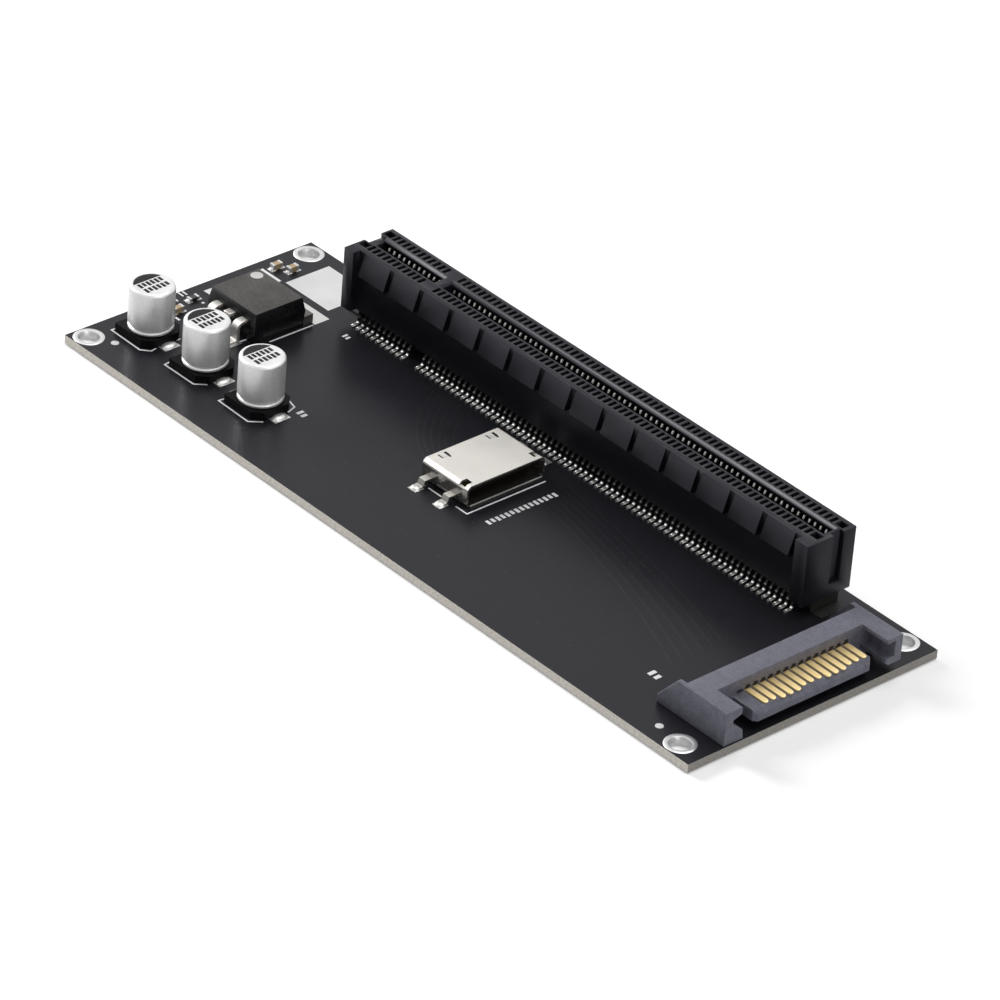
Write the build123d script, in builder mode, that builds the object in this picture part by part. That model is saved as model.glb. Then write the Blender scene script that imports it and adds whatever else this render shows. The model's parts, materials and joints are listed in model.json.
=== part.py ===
from build123d import *
import os

os.makedirs("parts", exist_ok=True)

# Adapter board with a cable receptacle, a long card slot and a blade power plug.
# The origin is the middle of the four mounting holes, on the board's underside.
# +X runs along the long edge towards the power plug, +Y towards the card slot, +Z up.
# Places on the board are given from its left and near edges, in millimetres.

# Circuit board
board_length = 120.0
board_width = 42.0
board_thickness = 1.2
hole_from_left = 2.2
hole_from_right = 3.8
hole_from_edge = 2.25
hole_radius = 1.5
copper = 0.05

# Card slot: housing
slot_length = 88.0
slot_height = 11.0
slot_from_left = 17.5
slot_axis_from_near = 37.15
slot_near_wall = 3.75
slot_far_wall = 3.43
slot_underside = 2.05
block_reach = 4.9
left_block = 1.8
right_block = 2.25
plinth_half_width = 1.85
plinth_inset = 0.8

# Card slot: sloped panels along the near side
panel_count = 14
panel_gap = 0.88
panel_end_gap = 1.1
panel_flare = 1.05
panel_height = 3.3
panel_lip = 0.25

# Card slot: the gap for the card edge, its key and the contact cavities
card_gap = 1.7
card_depth = 8.0
lead_in = 0.35
lead_in_angle = 45
key_width = 1.6
key_offset = 0.3
key_step = 3.0
pin_pitch = 1.0
pins_before_key = 11
pins_after_key = 71
first_pin = 2.3
gap_margin_left = 1.0
gap_margin_right = 1.3
row_offset = 2.17
cavity_length = 1.4
cavity_width = 0.6
land_height = 0.65
rib_lift = 1.0
channel_flare = 0.25
end_cavity_length = 1.4
end_cavity_width = 1.2
left_cavity_inset = 0.33
right_cavity_inset = 0.6
end_cavity_depth = 3.0
notch_width = 2.9
notch_depth = 0.7
groove_width = 1.8
groove_offset = 0.45
groove_depth = 0.75
groove_bottom = 3.8

# Card slot: contacts and locks
contact_width = 0.4
contact_thickness = 0.2
contact_bite = 0.05
tip_below_top = 1.5
near_toe = 4.95
far_toe = 4.5
contact_heel = 3.55
lock_sheet = 0.2
lock_width = 4.6
lock_foot = 2.1
lock_rise = 3.2
lock_clearance = 0.05

# Cable receptacle
shell_from_left = 53.5
shell_from_near = 15.4
shell_length = 8.6
shell_width = 13.2
shell_height = 3.1
shell_sheet = 0.3
shell_corner = 0.5
shell_foot_corner = 0.12
shell_inner_corner = 0.4
lip_length = 0.3
first_leg = 0.75
leg_pitch = 4.65
leg_width = 1.15
leg_reach = 2.2
leg_height = 0.75
latch_notch_length = 1.1
latch_notch_width = 1.4
latch_notch_setback = 1.2
slit_places = (2.1, 3.25, 10.15, 11.3)
slit_length = 1.0
slit_width = 0.2
slit_setback = 0.5
insulator_length = 3.4
tongue_length = 3.6
tongue_width = 10.8
tongue_thickness = 0.6
insulator_floor = 0.25
floor_setback = 0.6
receptacle_pitch = 0.5
receptacle_pins = 21
receptacle_contact_width = 0.22
receptacle_contact_thickness = 0.08
seat_clearance = 0.02

# Power plug
plug_front_setback = 0.16
plug_from_near = 5.95
plug_width = 29.65
plug_height = 4.8
plug_body_rear = 7.74
plug_cheek = 0.7
cheek_shoulder = 8.74
cheek_end = 11.94
cheek_end_height = 1.1
mouth_depth = 4.49
mouth_margin = 2.65
arm_wall = 1.25
arm_flange = 1.0
arm_flange_root = 1.46
arm_groove_floor = 2.0
arm_lip_drop = 3.4
arm_lip_step = 0.35
arm_lip_foot = 0.55
far_arm_flange = 0.6
far_arm_groove_foot = 2.8
far_arm_foot = 3.8
far_arm_bevel = 0.45
blade_from_near = 11.3
blade_width = 19.8
blade_top = 2.7
blade_thickness = 1.6
blade_setback = 0.39
blade_bevel_length = 0.65
blade_bevel_drop = 0.6
blade_corner = 0.55
power_positions = 15
power_pitch = 1.27
first_position_from_near = 12.51
empty_positions = (1,)
short_positions = (2, 3, 7, 8, 9, 13, 14, 15)
power_contact_width = 0.84
power_contact_thickness = 0.25
power_notch_width = 0.9
power_notch_height = 0.5
power_tail_foot = 1.5
power_tail_drop = 0.7
long_tip_setback = 0.65
short_tip_setback = 1.05

# Round capacitors
capacitor_count = 3
capacitor_from_left = 6.1
capacitor_from_near = 9.4
capacitor_pitch = 10.95
capacitor_drift = 0.25
can_radius = 3.1
can_height = 6.4
can_top_chamfer = 0.35
crimp_height = 0.95
crimp_depth = 0.28
rim_inset = 0.1
base_size = 6.6
base_height = 1.15
base_chamfer = 1.3
lead_strip_width = 0.7
lead_strip = 0.2
lead_strip_inner = 0.9
lead_strip_outer = 3.95

# Voltage regulator
regulator_from_left = 11.45
regulator_from_near = 18.6
regulator_width = 9.7
regulator_length = 8.6
regulator_height = 4.4
regulator_draft = 0.35
regulator_seam = 2.5
tab_width = 9.2
tab_inner = 1.4
tab_reach = 1.6
tab_thickness = 1.3
regulator_pitch = 2.54
regulator_lead_width = 1.25
regulator_lead_thickness = 0.5
regulator_lead_height = 2.8
regulator_lead_root = 0.8
regulator_lead_run = 1.8
regulator_lead_bend = 0.5
regulator_lead_toe = 3.1
cut_lead_run = 0.9
pad_from_left = 6.2
pad_width = 10.55
pad_from_near = 19.9
pad_length = 11.2
bare_pad_from_near = 32.35
bare_pad_width = 8.8
bare_pad_length = 7.55

# Chip capacitors and the chip resistor, which lie along Y
chip_length = 1.6
chip_end = 0.35
chip_capacitor_places = ((2.6, 33.7), (4.4, 35.0), (3.9, 15.75))
chip_resistor_place = (2.6, 19.4)
chip_capacitor_width = 0.8
chip_capacitor_height = 0.8
chip_resistor_width = 0.8
chip_resistor_height = 0.45
chip_end_wrap = 0.03


# Reference lines worked out from the sizes above
hole_spacing_x = board_length - hole_from_left - hole_from_right
hole_spacing_y = board_width - 2 * hole_from_edge
left = -(hole_from_left + hole_spacing_x / 2)
near = -(hole_from_edge + hole_spacing_y / 2)
top = board_thickness
board_center = (left + board_length / 2, near + board_width / 2)
hole_places = [
    (side * hole_spacing_x / 2, depth * hole_spacing_y / 2)
    for depth in (-1, 1)
    for side in (-1, 1)
]


def save(piece, name):
    """Label a finished piece and write it as its own file."""
    piece.part.label = name
    export_step(piece.part, "parts/" + name + ".step")


def chip_pieces(name, place, width, height):
    """A chip's ceramic body and its two metal ends, seated on the board."""
    x = left + place[0]
    y = near + place[1]
    body_length = chip_length - 2 * chip_end
    with BuildPart() as body:
        with BuildSketch(Plane.XY.offset(top + chip_end_wrap)):
            with Locations((x, y)):
                Rectangle(width, body_length)
        extrude(amount=height)
    save(body, name)
    with BuildPart() as ends:
        with BuildSketch(Plane.XY.offset(top)):
            for side in (-1, 1):
                with Locations((x, y + side * (chip_length - chip_end) / 2)):
                    Rectangle(width + 2 * chip_end_wrap, chip_end)
        extrude(amount=height + 2 * chip_end_wrap)
    save(ends, name + "_ends")


# The board with its four mounting holes, relieved for the two pads that lie flush in it
pad_center = (left + pad_from_left + pad_width / 2, near + pad_from_near + pad_length / 2)
bare_center = (
    left + pad_from_left + bare_pad_width / 2,
    near + bare_pad_from_near + bare_pad_length / 2,
)
with BuildPart() as circuit_board:
    with BuildSketch():
        with Locations(board_center):
            Rectangle(board_length, board_width)
        with Locations(*hole_places):
            Circle(hole_radius, mode=Mode.SUBTRACT)
    extrude(amount=board_thickness)
    with BuildSketch(Plane.XY.offset(top - copper)):
        with Locations(pad_center):
            Rectangle(pad_width, pad_length)
        with Locations(bare_center):
            Rectangle(bare_pad_width, bare_pad_length)
    extrude(amount=copper, mode=Mode.SUBTRACT)
save(circuit_board, "circuit_board")

# Tinned pads flush with the board's top
with BuildPart() as regulator_pad:
    with BuildSketch(Plane.XY.offset(top - copper)):
        with Locations(pad_center):
            Rectangle(pad_width, pad_length)
    extrude(amount=copper)
save(regulator_pad, "regulator_pad")

with BuildPart() as bare_pad:
    with BuildSketch(Plane.XY.offset(top - copper)):
        with Locations(bare_center):
            Rectangle(bare_pad_width, bare_pad_length)
    extrude(amount=copper)
save(bare_pad, "bare_pad")


# Card slot: lines that the housing, the contacts and the locks share
slot_start = left + slot_from_left
slot_end = slot_start + slot_length
axis_y = near + slot_axis_from_near
slot_top = top + slot_height
under_z = top + slot_underside
floor_z = slot_top - card_depth
rib_z = floor_z + rib_lift
land_z = slot_top - land_height
near_face = axis_y - slot_near_wall
far_face = axis_y + slot_far_wall
block_face = axis_y - block_reach
cavity_in = row_offset - cavity_length / 2
cavity_out = row_offset + cavity_length / 2
channel_out = cavity_out + channel_flare
first_x = slot_start + first_pin
key_start_x = first_x + (pins_before_key - 1) * pin_pitch
after_key_x = key_start_x + key_step
last_x = after_key_x + (pins_after_key - 1) * pin_pitch
key_x = (key_start_x + after_key_x) / 2 + key_offset
pin_places = [first_x + pin * pin_pitch for pin in range(pins_before_key)]
pin_places += [after_key_x + pin * pin_pitch for pin in range(pins_after_key)]
card_spans = (
    (first_x - gap_margin_left, key_x - key_width / 2),
    (key_x + key_width / 2, last_x + gap_margin_right),
)
rib_spans = (
    (first_x - cavity_width / 2, key_start_x + cavity_width / 2),
    (after_key_x - cavity_width / 2, last_x + cavity_width / 2),
)
panel_start = slot_start + left_block + panel_end_gap
panel_end = slot_end - right_block - panel_end_gap
panel_pitch = (panel_end - panel_start + panel_gap) / panel_count
end_cavities = [
    slot_start + left_cavity_inset + end_cavity_length / 2,
    slot_end - right_cavity_inset - end_cavity_length / 2,
]
lock_pocket = lock_sheet + 2 * lock_clearance

# The slot's moulded housing: a body that overhangs a narrow plinth, with thicker end blocks,
# sloped panels on its near side, the keyed gap for the card and a cavity for every contact
with BuildPart() as slot_housing:
    with BuildSketch(Plane.XY.offset(under_z)):
        with BuildLine():
            Polyline(
                (slot_start, block_face),
                (slot_start + left_block, block_face),
                (slot_start + left_block, near_face),
                (slot_end - right_block, near_face),
                (slot_end - right_block, block_face),
                (slot_end, block_face),
                (slot_end, far_face),
                (slot_start, far_face),
                close=True,
            )
        make_face()
    extrude(amount=slot_height - slot_underside)

    # Plinth that stands on the board between the two rows of tails
    with BuildSketch(Plane.YZ.offset(slot_start + plinth_inset)):
        with Locations((axis_y, (top + under_z) / 2)):
            Rectangle(2 * plinth_half_width, slot_underside)
    extrude(amount=slot_length - 2 * plinth_inset)

    # Sloped panels, each a wedge with a blunt lower edge
    with BuildSketch(
        *[Plane.YZ.offset(panel_start + panel * panel_pitch) for panel in range(panel_count)]
    ):
        with BuildLine():
            Polyline(
                (near_face, slot_top),
                (near_face - panel_flare, slot_top - panel_height + panel_lip),
                (near_face - panel_flare + panel_lip, slot_top - panel_height),
                (near_face, slot_top - panel_height),
                close=True,
            )
        make_face()
    extrude(amount=panel_pitch - panel_gap)

    # Gap for the card edge on both sides of the key, wider under its lands, with a lead-in on top
    for span_start, span_end in card_spans:
        span_middle = ((span_start + span_end) / 2, axis_y)
        span = span_end - span_start
        with BuildSketch(Plane.XY.offset(floor_z)):
            with Locations(span_middle):
                Rectangle(span, card_gap)
        extrude(amount=card_depth, mode=Mode.SUBTRACT)
        with BuildSketch(Plane.XY.offset(floor_z)):
            with Locations(span_middle):
                Rectangle(span, 2 * cavity_in)
        extrude(amount=land_z - floor_z, mode=Mode.SUBTRACT)
        with BuildSketch(Plane.XY.offset(slot_top)):
            with Locations(span_middle):
                Rectangle(span + 2 * lead_in, card_gap + 2 * lead_in)
        extrude(amount=-lead_in, taper=lead_in_angle, mode=Mode.SUBTRACT)

    # Flared channels under the two rows, where the tails leave the housing
    for span_start, span_end in rib_spans:
        with BuildSketch(Plane.YZ.offset(span_start)):
            for side in (-1, 1):
                with BuildLine():
                    Polyline(
                        (axis_y + side * cavity_in, under_z),
                        (axis_y + side * cavity_in, rib_z),
                        (axis_y + side * cavity_out, rib_z),
                        (axis_y + side * channel_out, under_z),
                        close=True,
                    )
                make_face()
        extrude(amount=span_end - span_start, mode=Mode.SUBTRACT)

    # Contact cavities of both rows, from the channels up through the top
    with BuildSketch(Plane.XY.offset(slot_top)):
        for side in (-1, 1):
            with Locations(*[(x, axis_y + side * row_offset) for x in pin_places]):
                Rectangle(cavity_width, cavity_length)
    extrude(amount=rib_z - slot_top, mode=Mode.SUBTRACT)

    # Larger blind cavities at the ends of both rows
    with BuildSketch(Plane.XY.offset(slot_top)):
        for x in end_cavities:
            with Locations((x, axis_y - row_offset), (x, axis_y + row_offset)):
                Rectangle(end_cavity_length, end_cavity_width)
    extrude(amount=-end_cavity_depth, mode=Mode.SUBTRACT)

    # Notch in the left end, and an upright groove a little off the middle of the right end
    with BuildSketch(Plane.XY.offset(slot_top)):
        with Locations(((slot_start + card_spans[0][0]) / 2, axis_y)):
            Rectangle(card_spans[0][0] - slot_start, notch_width)
    extrude(amount=-notch_depth, mode=Mode.SUBTRACT)
    with BuildSketch(Plane.YZ.offset(slot_end)):
        with Locations((axis_y + groove_offset, (top + groove_bottom + slot_top) / 2)):
            Rectangle(groove_width, slot_height - groove_bottom)
    extrude(amount=-groove_depth, mode=Mode.SUBTRACT)

    # Pockets that hold the upright sheets of the two locks
    with BuildSketch(Plane.XY.offset(under_z)):
        for x in (slot_start + plinth_inset, slot_end - plinth_inset):
            with Locations((x, axis_y)):
                Rectangle(lock_pocket, lock_width + 2 * lock_clearance)
    extrude(amount=lock_rise - slot_underside + lock_clearance, mode=Mode.SUBTRACT)
    with BuildSketch(Plane.XY.offset(top)):
        for x in (slot_start + plinth_inset, slot_end - plinth_inset):
            with Locations((x, axis_y)):
                Rectangle(lock_pocket, lock_width + 2 * lock_clearance)
    extrude(amount=slot_underside, mode=Mode.SUBTRACT)
save(slot_housing, "slot_housing")


def slot_contact_row(side, toe, name):
    """One row of spring contacts: a foot on the board and a beam that leans up into the card gap."""
    tip = card_gap / 2 - contact_bite
    tip_z = slot_top - tip_below_top
    with BuildPart() as row:
        with BuildSketch(*[Plane.YZ.offset(x - contact_width / 2) for x in pin_places]):
            with BuildLine():
                Polyline(
                    (axis_y + side * toe, top),
                    (axis_y + side * contact_heel, top + contact_thickness),
                    (axis_y + side * (tip + contact_thickness), tip_z + contact_thickness),
                    (axis_y + side * tip, tip_z),
                    (axis_y + side * (contact_heel - contact_thickness), top),
                    close=True,
                )
            make_face()
        extrude(amount=contact_width)
    save(row, name)


slot_contact_row(-1, near_toe, "slot_contacts_near")
slot_contact_row(1, far_toe, "slot_contacts_far")

# Locks: bent sheets held in the housing's ends and soldered to the board by their feet
for side, name in ((-1, "slot_lock_left"), (1, "slot_lock_right")):
    middle = slot_end - plinth_inset if side > 0 else slot_start + plinth_inset
    inner = middle - side * lock_sheet / 2
    outer = middle + side * lock_sheet / 2
    toe = inner + side * lock_foot
    with BuildPart() as slot_lock:
        with BuildSketch(Plane.XZ.offset(-(axis_y + lock_width / 2))):
            with BuildLine():
                Polyline(
                    (inner, top),
                    (inner, top + lock_rise),
                    (outer, top + lock_rise),
                    (outer, top + lock_sheet),
                    (toe, top + lock_sheet),
                    (toe, top),
                    close=True,
                )
            make_face()
        extrude(amount=lock_width)
    save(slot_lock, name)


# Cable receptacle: a folded metal shell round a moulded insulator with a tongue
shell_back = left + shell_from_left
shell_front = shell_back + shell_length
shell_near = near + shell_from_near
shell_far = shell_near + shell_width
shell_top = top + shell_height
shell_mid_y = (shell_near + shell_far) / 2
shell_mid_z = (top + shell_top) / 2


def hollow_section(clearance):
    """The section of the shell's hollow with cut upper corners, drawn in by a clearance."""
    inset = shell_sheet + clearance
    with BuildSketch() as section:
        with Locations((shell_mid_y, shell_mid_z)):
            Rectangle(shell_width - 2 * inset, shell_height - 2 * inset)
        chamfer(section.vertices().group_by(Axis.Y)[-1], length=shell_inner_corner)
    return section.sketch


with BuildPart() as receptacle_shell:
    with BuildSketch(Plane.YZ.offset(shell_back)) as outline:
        with Locations((shell_mid_y, shell_mid_z)):
            Rectangle(shell_width, shell_height)
        chamfer(outline.vertices().group_by(Axis.Z)[-1], length=shell_corner)
        chamfer(outline.vertices().group_by(Axis.Z)[0], length=shell_foot_corner)
    extrude(amount=shell_length)
    with BuildSketch(Plane.YZ.offset(shell_back + shell_sheet)):
        add(hollow_section(0))
    extrude(amount=shell_length - shell_sheet, mode=Mode.SUBTRACT)

    # Lower lip that runs a little past the mouth
    with BuildSketch(Plane.XY.offset(top)):
        with Locations((shell_front + lip_length / 2, shell_mid_y)):
            Rectangle(lip_length, shell_width - 2 * shell_corner)
    extrude(amount=shell_sheet)

    # Latch notches in the front corners of the top
    with BuildSketch(Plane.XY.offset(shell_top)):
        for side in (-1, 1):
            edge_y = shell_mid_y + side * (shell_width - latch_notch_width) / 2
            with Locations((shell_front - latch_notch_setback, edge_y)):
                Rectangle(latch_notch_length, latch_notch_width)
    extrude(amount=-shell_corner, mode=Mode.SUBTRACT)

    # Narrow slits in the rear of the top
    with BuildSketch(Plane.XY.offset(shell_top)):
        for place in slit_places:
            with Locations((shell_back + slit_setback + slit_length / 2, shell_near + place)):
                Rectangle(slit_length, slit_width)
    extrude(amount=-shell_sheet, mode=Mode.SUBTRACT)

    # Solder legs, two on each side
    for leg in range(2):
        with BuildSketch(Plane.YZ.offset(shell_back + first_leg + leg * leg_pitch)):
            for side in (-1, 1):
                wall = shell_mid_y + side * (shell_width / 2 - shell_sheet / 2)
                reach = shell_mid_y + side * (shell_width / 2 + leg_reach)
                bend = reach - side * (leg_reach / 2)
                with BuildLine():
                    Polyline(
                        (wall, top + leg_height),
                        (wall, top + leg_height + shell_sheet),
                        (bend, top + leg_height + shell_sheet),
                        (bend + side * shell_sheet, top + shell_sheet),
                        (reach, top + shell_sheet),
                        (reach, top),
                        (bend, top),
                        (bend - side * shell_sheet, top + leg_height),
                        close=True,
                    )
                make_face()
        extrude(amount=leg_width)
save(receptacle_shell, "receptacle_shell")

insulator_start = shell_back + shell_sheet + seat_clearance
with BuildPart() as receptacle_insulator:
    with BuildSketch(Plane.YZ.offset(insulator_start)):
        add(hollow_section(seat_clearance))
    extrude(amount=insulator_length)
    with BuildSketch(Plane.XY.offset(top + shell_sheet + seat_clearance)):
        with Locations((insulator_start, shell_mid_y)):
            Rectangle(
                shell_length - shell_sheet - floor_setback,
                shell_width - 2 * (shell_sheet + seat_clearance),
                align=(Align.MIN, Align.CENTER),
            )
    extrude(amount=insulator_floor)
    with BuildSketch(Plane.YZ.offset(insulator_start + insulator_length)):
        with Locations((shell_mid_y, shell_mid_z)):
            Rectangle(tongue_width, tongue_thickness)
    extrude(amount=tongue_length)
save(receptacle_insulator, "receptacle_insulator")

# Receptacle contacts: thin strips on both faces of the tongue
contact_run = tongue_length - tongue_thickness
with BuildPart() as receptacle_contacts:
    with BuildSketch(
        Plane.XY.offset(shell_mid_z + tongue_thickness / 2),
        Plane.XY.offset(shell_mid_z - tongue_thickness / 2 - receptacle_contact_thickness),
    ):
        with Locations((insulator_start + insulator_length + contact_run / 2, shell_mid_y)):
            with GridLocations(0, receptacle_pitch, 1, receptacle_pins):
                Rectangle(contact_run, receptacle_contact_width)
    extrude(amount=receptacle_contact_thickness)
save(receptacle_contacts, "receptacle_contacts")


# Power plug: lines that its housing and its contacts share
plug_front = left + board_length - plug_front_setback
plug_near = near + plug_from_near
plug_far = plug_near + plug_width
plug_top = top + plug_height
plug_mid_y = (plug_near + plug_far) / 2
body_back = plug_front - plug_body_rear
mouth_back = plug_front - mouth_depth
blade_front = plug_front - blade_setback
blade_z = top + blade_top
blade_mid_y = near + blade_from_near + blade_width / 2
mouth_half = plug_width / 2 - mouth_margin
power_places = [
    near + first_position_from_near + position * power_pitch for position in range(power_positions)
]

with BuildPart() as power_plug_housing:
    # Outline from above, with the cheeks that run back beside the tails
    with BuildSketch(Plane.XZ.offset(-plug_far)):
        with BuildLine():
            Polyline(
                (plug_front - cheek_end, top),
                (plug_front - cheek_end, top + cheek_end_height),
                (plug_front - cheek_shoulder, plug_top),
                (plug_front, plug_top),
                (plug_front, top),
                close=True,
            )
        make_face()
    extrude(amount=plug_width)
    with BuildSketch(Plane.XY.offset(top)):
        with Locations((body_back, plug_mid_y)):
            Rectangle(
                cheek_end,
                plug_width - 2 * plug_cheek,
                align=(Align.MAX, Align.CENTER),
            )
    extrude(amount=plug_height, mode=Mode.SUBTRACT)

    # Mouth, open to the front: a slanted groove in the near arm and a square one in the far arm,
    # which stands clear of the board
    with BuildSketch(Plane.YZ.offset(mouth_back)):
        with BuildLine():
            groove_half = plug_width / 2 - arm_wall
            Polyline(
                (plug_mid_y - mouth_half, plug_top),
                (plug_mid_y - mouth_half, plug_top - arm_flange),
                (plug_mid_y - groove_half, plug_top - arm_flange_root),
                (plug_mid_y - groove_half, plug_top - arm_groove_floor),
                (plug_mid_y - mouth_half + arm_lip_step, plug_top - arm_lip_drop),
                (plug_mid_y - mouth_half + arm_lip_foot, top),
                (plug_far, top),
                (plug_far, plug_top - far_arm_foot),
                (plug_mid_y + mouth_half + far_arm_bevel, plug_top - far_arm_foot),
                (plug_mid_y + mouth_half, plug_top - far_arm_foot + far_arm_bevel),
                (plug_mid_y + mouth_half, plug_top - far_arm_groove_foot),
                (plug_mid_y + groove_half, plug_top - far_arm_groove_foot),
                (plug_mid_y + groove_half, plug_top - far_arm_flange),
                (plug_mid_y + mouth_half, plug_top - far_arm_flange),
                (plug_mid_y + mouth_half, plug_top),
                close=True,
            )
        make_face()
    extrude(amount=mouth_depth, mode=Mode.SUBTRACT)

    # Blade that carries the contacts, with cut front corners and a bevelled upper edge
    with BuildSketch(Plane.XY.offset(blade_z - blade_thickness)):
        with Locations(((mouth_back + blade_front) / 2, blade_mid_y)):
            Rectangle(blade_front - mouth_back, blade_width)
    extrude(amount=blade_thickness)
    blade_tip = power_plug_housing.faces().filter_by(Axis.X).group_by(Axis.X)[-2]
    chamfer(blade_tip.edges().filter_by(Axis.Z), length=blade_corner)
    blade_end = power_plug_housing.faces().filter_by(Axis.X).group_by(Axis.X)[-2]
    upper_edge = blade_end.edges().filter_by(Axis.Y).sort_by(Axis.Z)[-1]
    chamfer(upper_edge, length=blade_bevel_drop, length2=blade_bevel_length)

    # Passages for the contacts through the wall behind the blade
    with BuildSketch(*[Plane.XZ.offset(-(y + power_notch_width / 2)) for y in power_places]):
        with Locations(((body_back + mouth_back) / 2, blade_z + power_notch_height / 2)):
            Rectangle(mouth_back - body_back, power_notch_height)
    extrude(amount=power_notch_width, mode=Mode.SUBTRACT)
save(power_plug_housing, "power_plug_housing")

# Power contacts: strips along the blade that pass the wall and end as tails on the board
for position, y in enumerate(power_places, start=1):
    if position in empty_positions:
        continue
    tip_setback = short_tip_setback if position in short_positions else long_tip_setback
    tip = plug_front - tip_setback
    heel = body_back - power_tail_drop
    with BuildPart() as power_contact:
        with BuildSketch(Plane.XZ.offset(-(y + power_contact_width / 2))):
            with BuildLine():
                Polyline(
                    (tip, blade_z),
                    (tip - power_contact_thickness, blade_z + power_contact_thickness),
                    (heel, blade_z + power_contact_thickness),
                    (heel - power_contact_thickness, blade_z),
                    (heel - power_contact_thickness, top + power_contact_thickness),
                    (heel - power_tail_foot, top),
                    (heel, top),
                    (heel, blade_z),
                    close=True,
                )
            make_face()
        extrude(amount=power_contact_width)
    save(power_contact, f"power_contact_{position:02d}")


# Round capacitors: a drawn can on a moulded base, with two flat leads under it
base_top = top + base_height
can_top = base_top + can_height
for number in range(1, capacitor_count + 1):
    x = left + capacitor_from_left + (number - 1) * capacitor_pitch
    y = near + capacitor_from_near + (number - 1) * capacitor_drift
    with BuildPart() as can:
        with BuildSketch(Plane(origin=(x, y, 0), x_dir=(1, 0, 0), z_dir=(0, -1, 0))):
            with BuildLine():
                Polyline(
                    (0, base_top),
                    (can_radius - rim_inset, base_top),
                    (can_radius - crimp_depth, base_top + crimp_height),
                    (can_radius, base_top + crimp_height + crimp_depth),
                    (can_radius, can_top - can_top_chamfer),
                    (can_radius - can_top_chamfer, can_top),
                    (0, can_top),
                    close=True,
                )
            make_face()
        revolve(axis=Axis((x, y, 0), (0, 0, 1)))
    save(can, f"capacitor_{number}_can")

    with BuildPart() as base:
        with BuildSketch(Plane.XY.offset(top)):
            with Locations((x, y)):
                Rectangle(base_size, base_size)
        extrude(amount=base_height)
        chamfer(base.edges().filter_by(Axis.Z).group_by(Axis.X)[-1], length=base_chamfer)
        with BuildSketch(Plane.XY.offset(top)):
            for side in (-1, 1):
                with Locations((x + side * (lead_strip_inner + base_size / 2) / 2, y)):
                    Rectangle(base_size / 2 - lead_strip_inner, lead_strip_width)
        extrude(amount=lead_strip, mode=Mode.SUBTRACT)
    save(base, f"capacitor_{number}_base")

    with BuildPart() as leads:
        with BuildSketch(Plane.XY.offset(top)):
            for side in (-1, 1):
                with Locations((x + side * (lead_strip_inner + lead_strip_outer) / 2, y)):
                    Rectangle(lead_strip_outer - lead_strip_inner, lead_strip_width)
        extrude(amount=lead_strip)
    save(leads, f"capacitor_{number}_leads")


# Voltage regulator: a drafted body over a metal tab, with three leads
regulator_x = left + regulator_from_left
regulator_near = near + regulator_from_near
regulator_far = regulator_near + regulator_length
regulator_mid_y = (regulator_near + regulator_far) / 2
lead_z = top + regulator_lead_height
lead_places = [regulator_x + step * regulator_pitch for step in (-1, 0, 1)]
tab_near = regulator_near + tab_inner
tab_far = regulator_far + tab_reach
seam_z = top + regulator_seam
with BuildPart() as regulator_body:
    with BuildSketch(Plane.XY.offset(seam_z)):
        with Locations((regulator_x, regulator_mid_y)):
            Rectangle(regulator_width, regulator_length)
    with BuildSketch(Plane.XY.offset(top + regulator_height)):
        with Locations((regulator_x, regulator_mid_y)):
            Rectangle(regulator_width - 2 * regulator_draft, regulator_length - 2 * regulator_draft)
    loft()
    with BuildSketch(Plane.XY.offset(top)):
        with Locations((regulator_x, regulator_mid_y)):
            Rectangle(regulator_width - regulator_draft, regulator_length - regulator_draft)
    with BuildSketch(Plane.XY.offset(seam_z)):
        with Locations((regulator_x, regulator_mid_y)):
            Rectangle(regulator_width, regulator_length)
    loft()
    with BuildSketch(Plane.XY.offset(top)):
        with Locations((regulator_x, (tab_near + tab_far) / 2)):
            Rectangle(tab_width, tab_far - tab_near)
    extrude(amount=tab_thickness, mode=Mode.SUBTRACT)
    with BuildSketch(Plane.XY.offset(lead_z - regulator_lead_thickness / 2)):
        for x in lead_places:
            with Locations((x, regulator_near)):
                Rectangle(regulator_lead_width, 2 * regulator_lead_root)
    extrude(amount=regulator_lead_thickness, mode=Mode.SUBTRACT)
save(regulator_body, "regulator_body")

with BuildPart() as regulator_tab:
    with BuildSketch(Plane.XY.offset(top)):
        with Locations((regulator_x, (tab_near + tab_far) / 2)):
            Rectangle(tab_width, tab_far - tab_near)
    extrude(amount=tab_thickness)
save(regulator_tab, "regulator_tab")

lead_root_y = regulator_near + regulator_lead_root
lead_face_y = regulator_near - regulator_lead_run
lead_toe_y = regulator_near - regulator_lead_toe
lead_upper_z = lead_z + regulator_lead_thickness / 2
lead_lower_z = lead_z - regulator_lead_thickness / 2
cut_lead_y = regulator_near - cut_lead_run
for number, x in enumerate(lead_places, start=1):
    with BuildPart() as regulator_lead:
        with BuildSketch(Plane.YZ.offset(x - regulator_lead_width / 2)):
            with BuildLine():
                if number == 2:
                    Polyline(
                        (lead_root_y, lead_lower_z),
                        (lead_root_y, lead_upper_z),
                        (cut_lead_y, lead_upper_z),
                        (cut_lead_y, lead_lower_z),
                        close=True,
                    )
                else:
                    Polyline(
                        (lead_root_y, lead_lower_z),
                        (lead_root_y, lead_upper_z),
                        (lead_face_y + regulator_lead_bend, lead_upper_z),
                        (lead_face_y, lead_upper_z - regulator_lead_bend),
                        (lead_face_y, top + regulator_lead_thickness),
                        (lead_toe_y, top + regulator_lead_thickness),
                        (lead_toe_y, top),
                        (lead_face_y + regulator_lead_thickness, top),
                        (lead_face_y + regulator_lead_thickness, lead_lower_z),
                        close=True,
                    )
            make_face()
        extrude(amount=regulator_lead_width)
    save(regulator_lead, f"regulator_lead_{number}")


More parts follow.
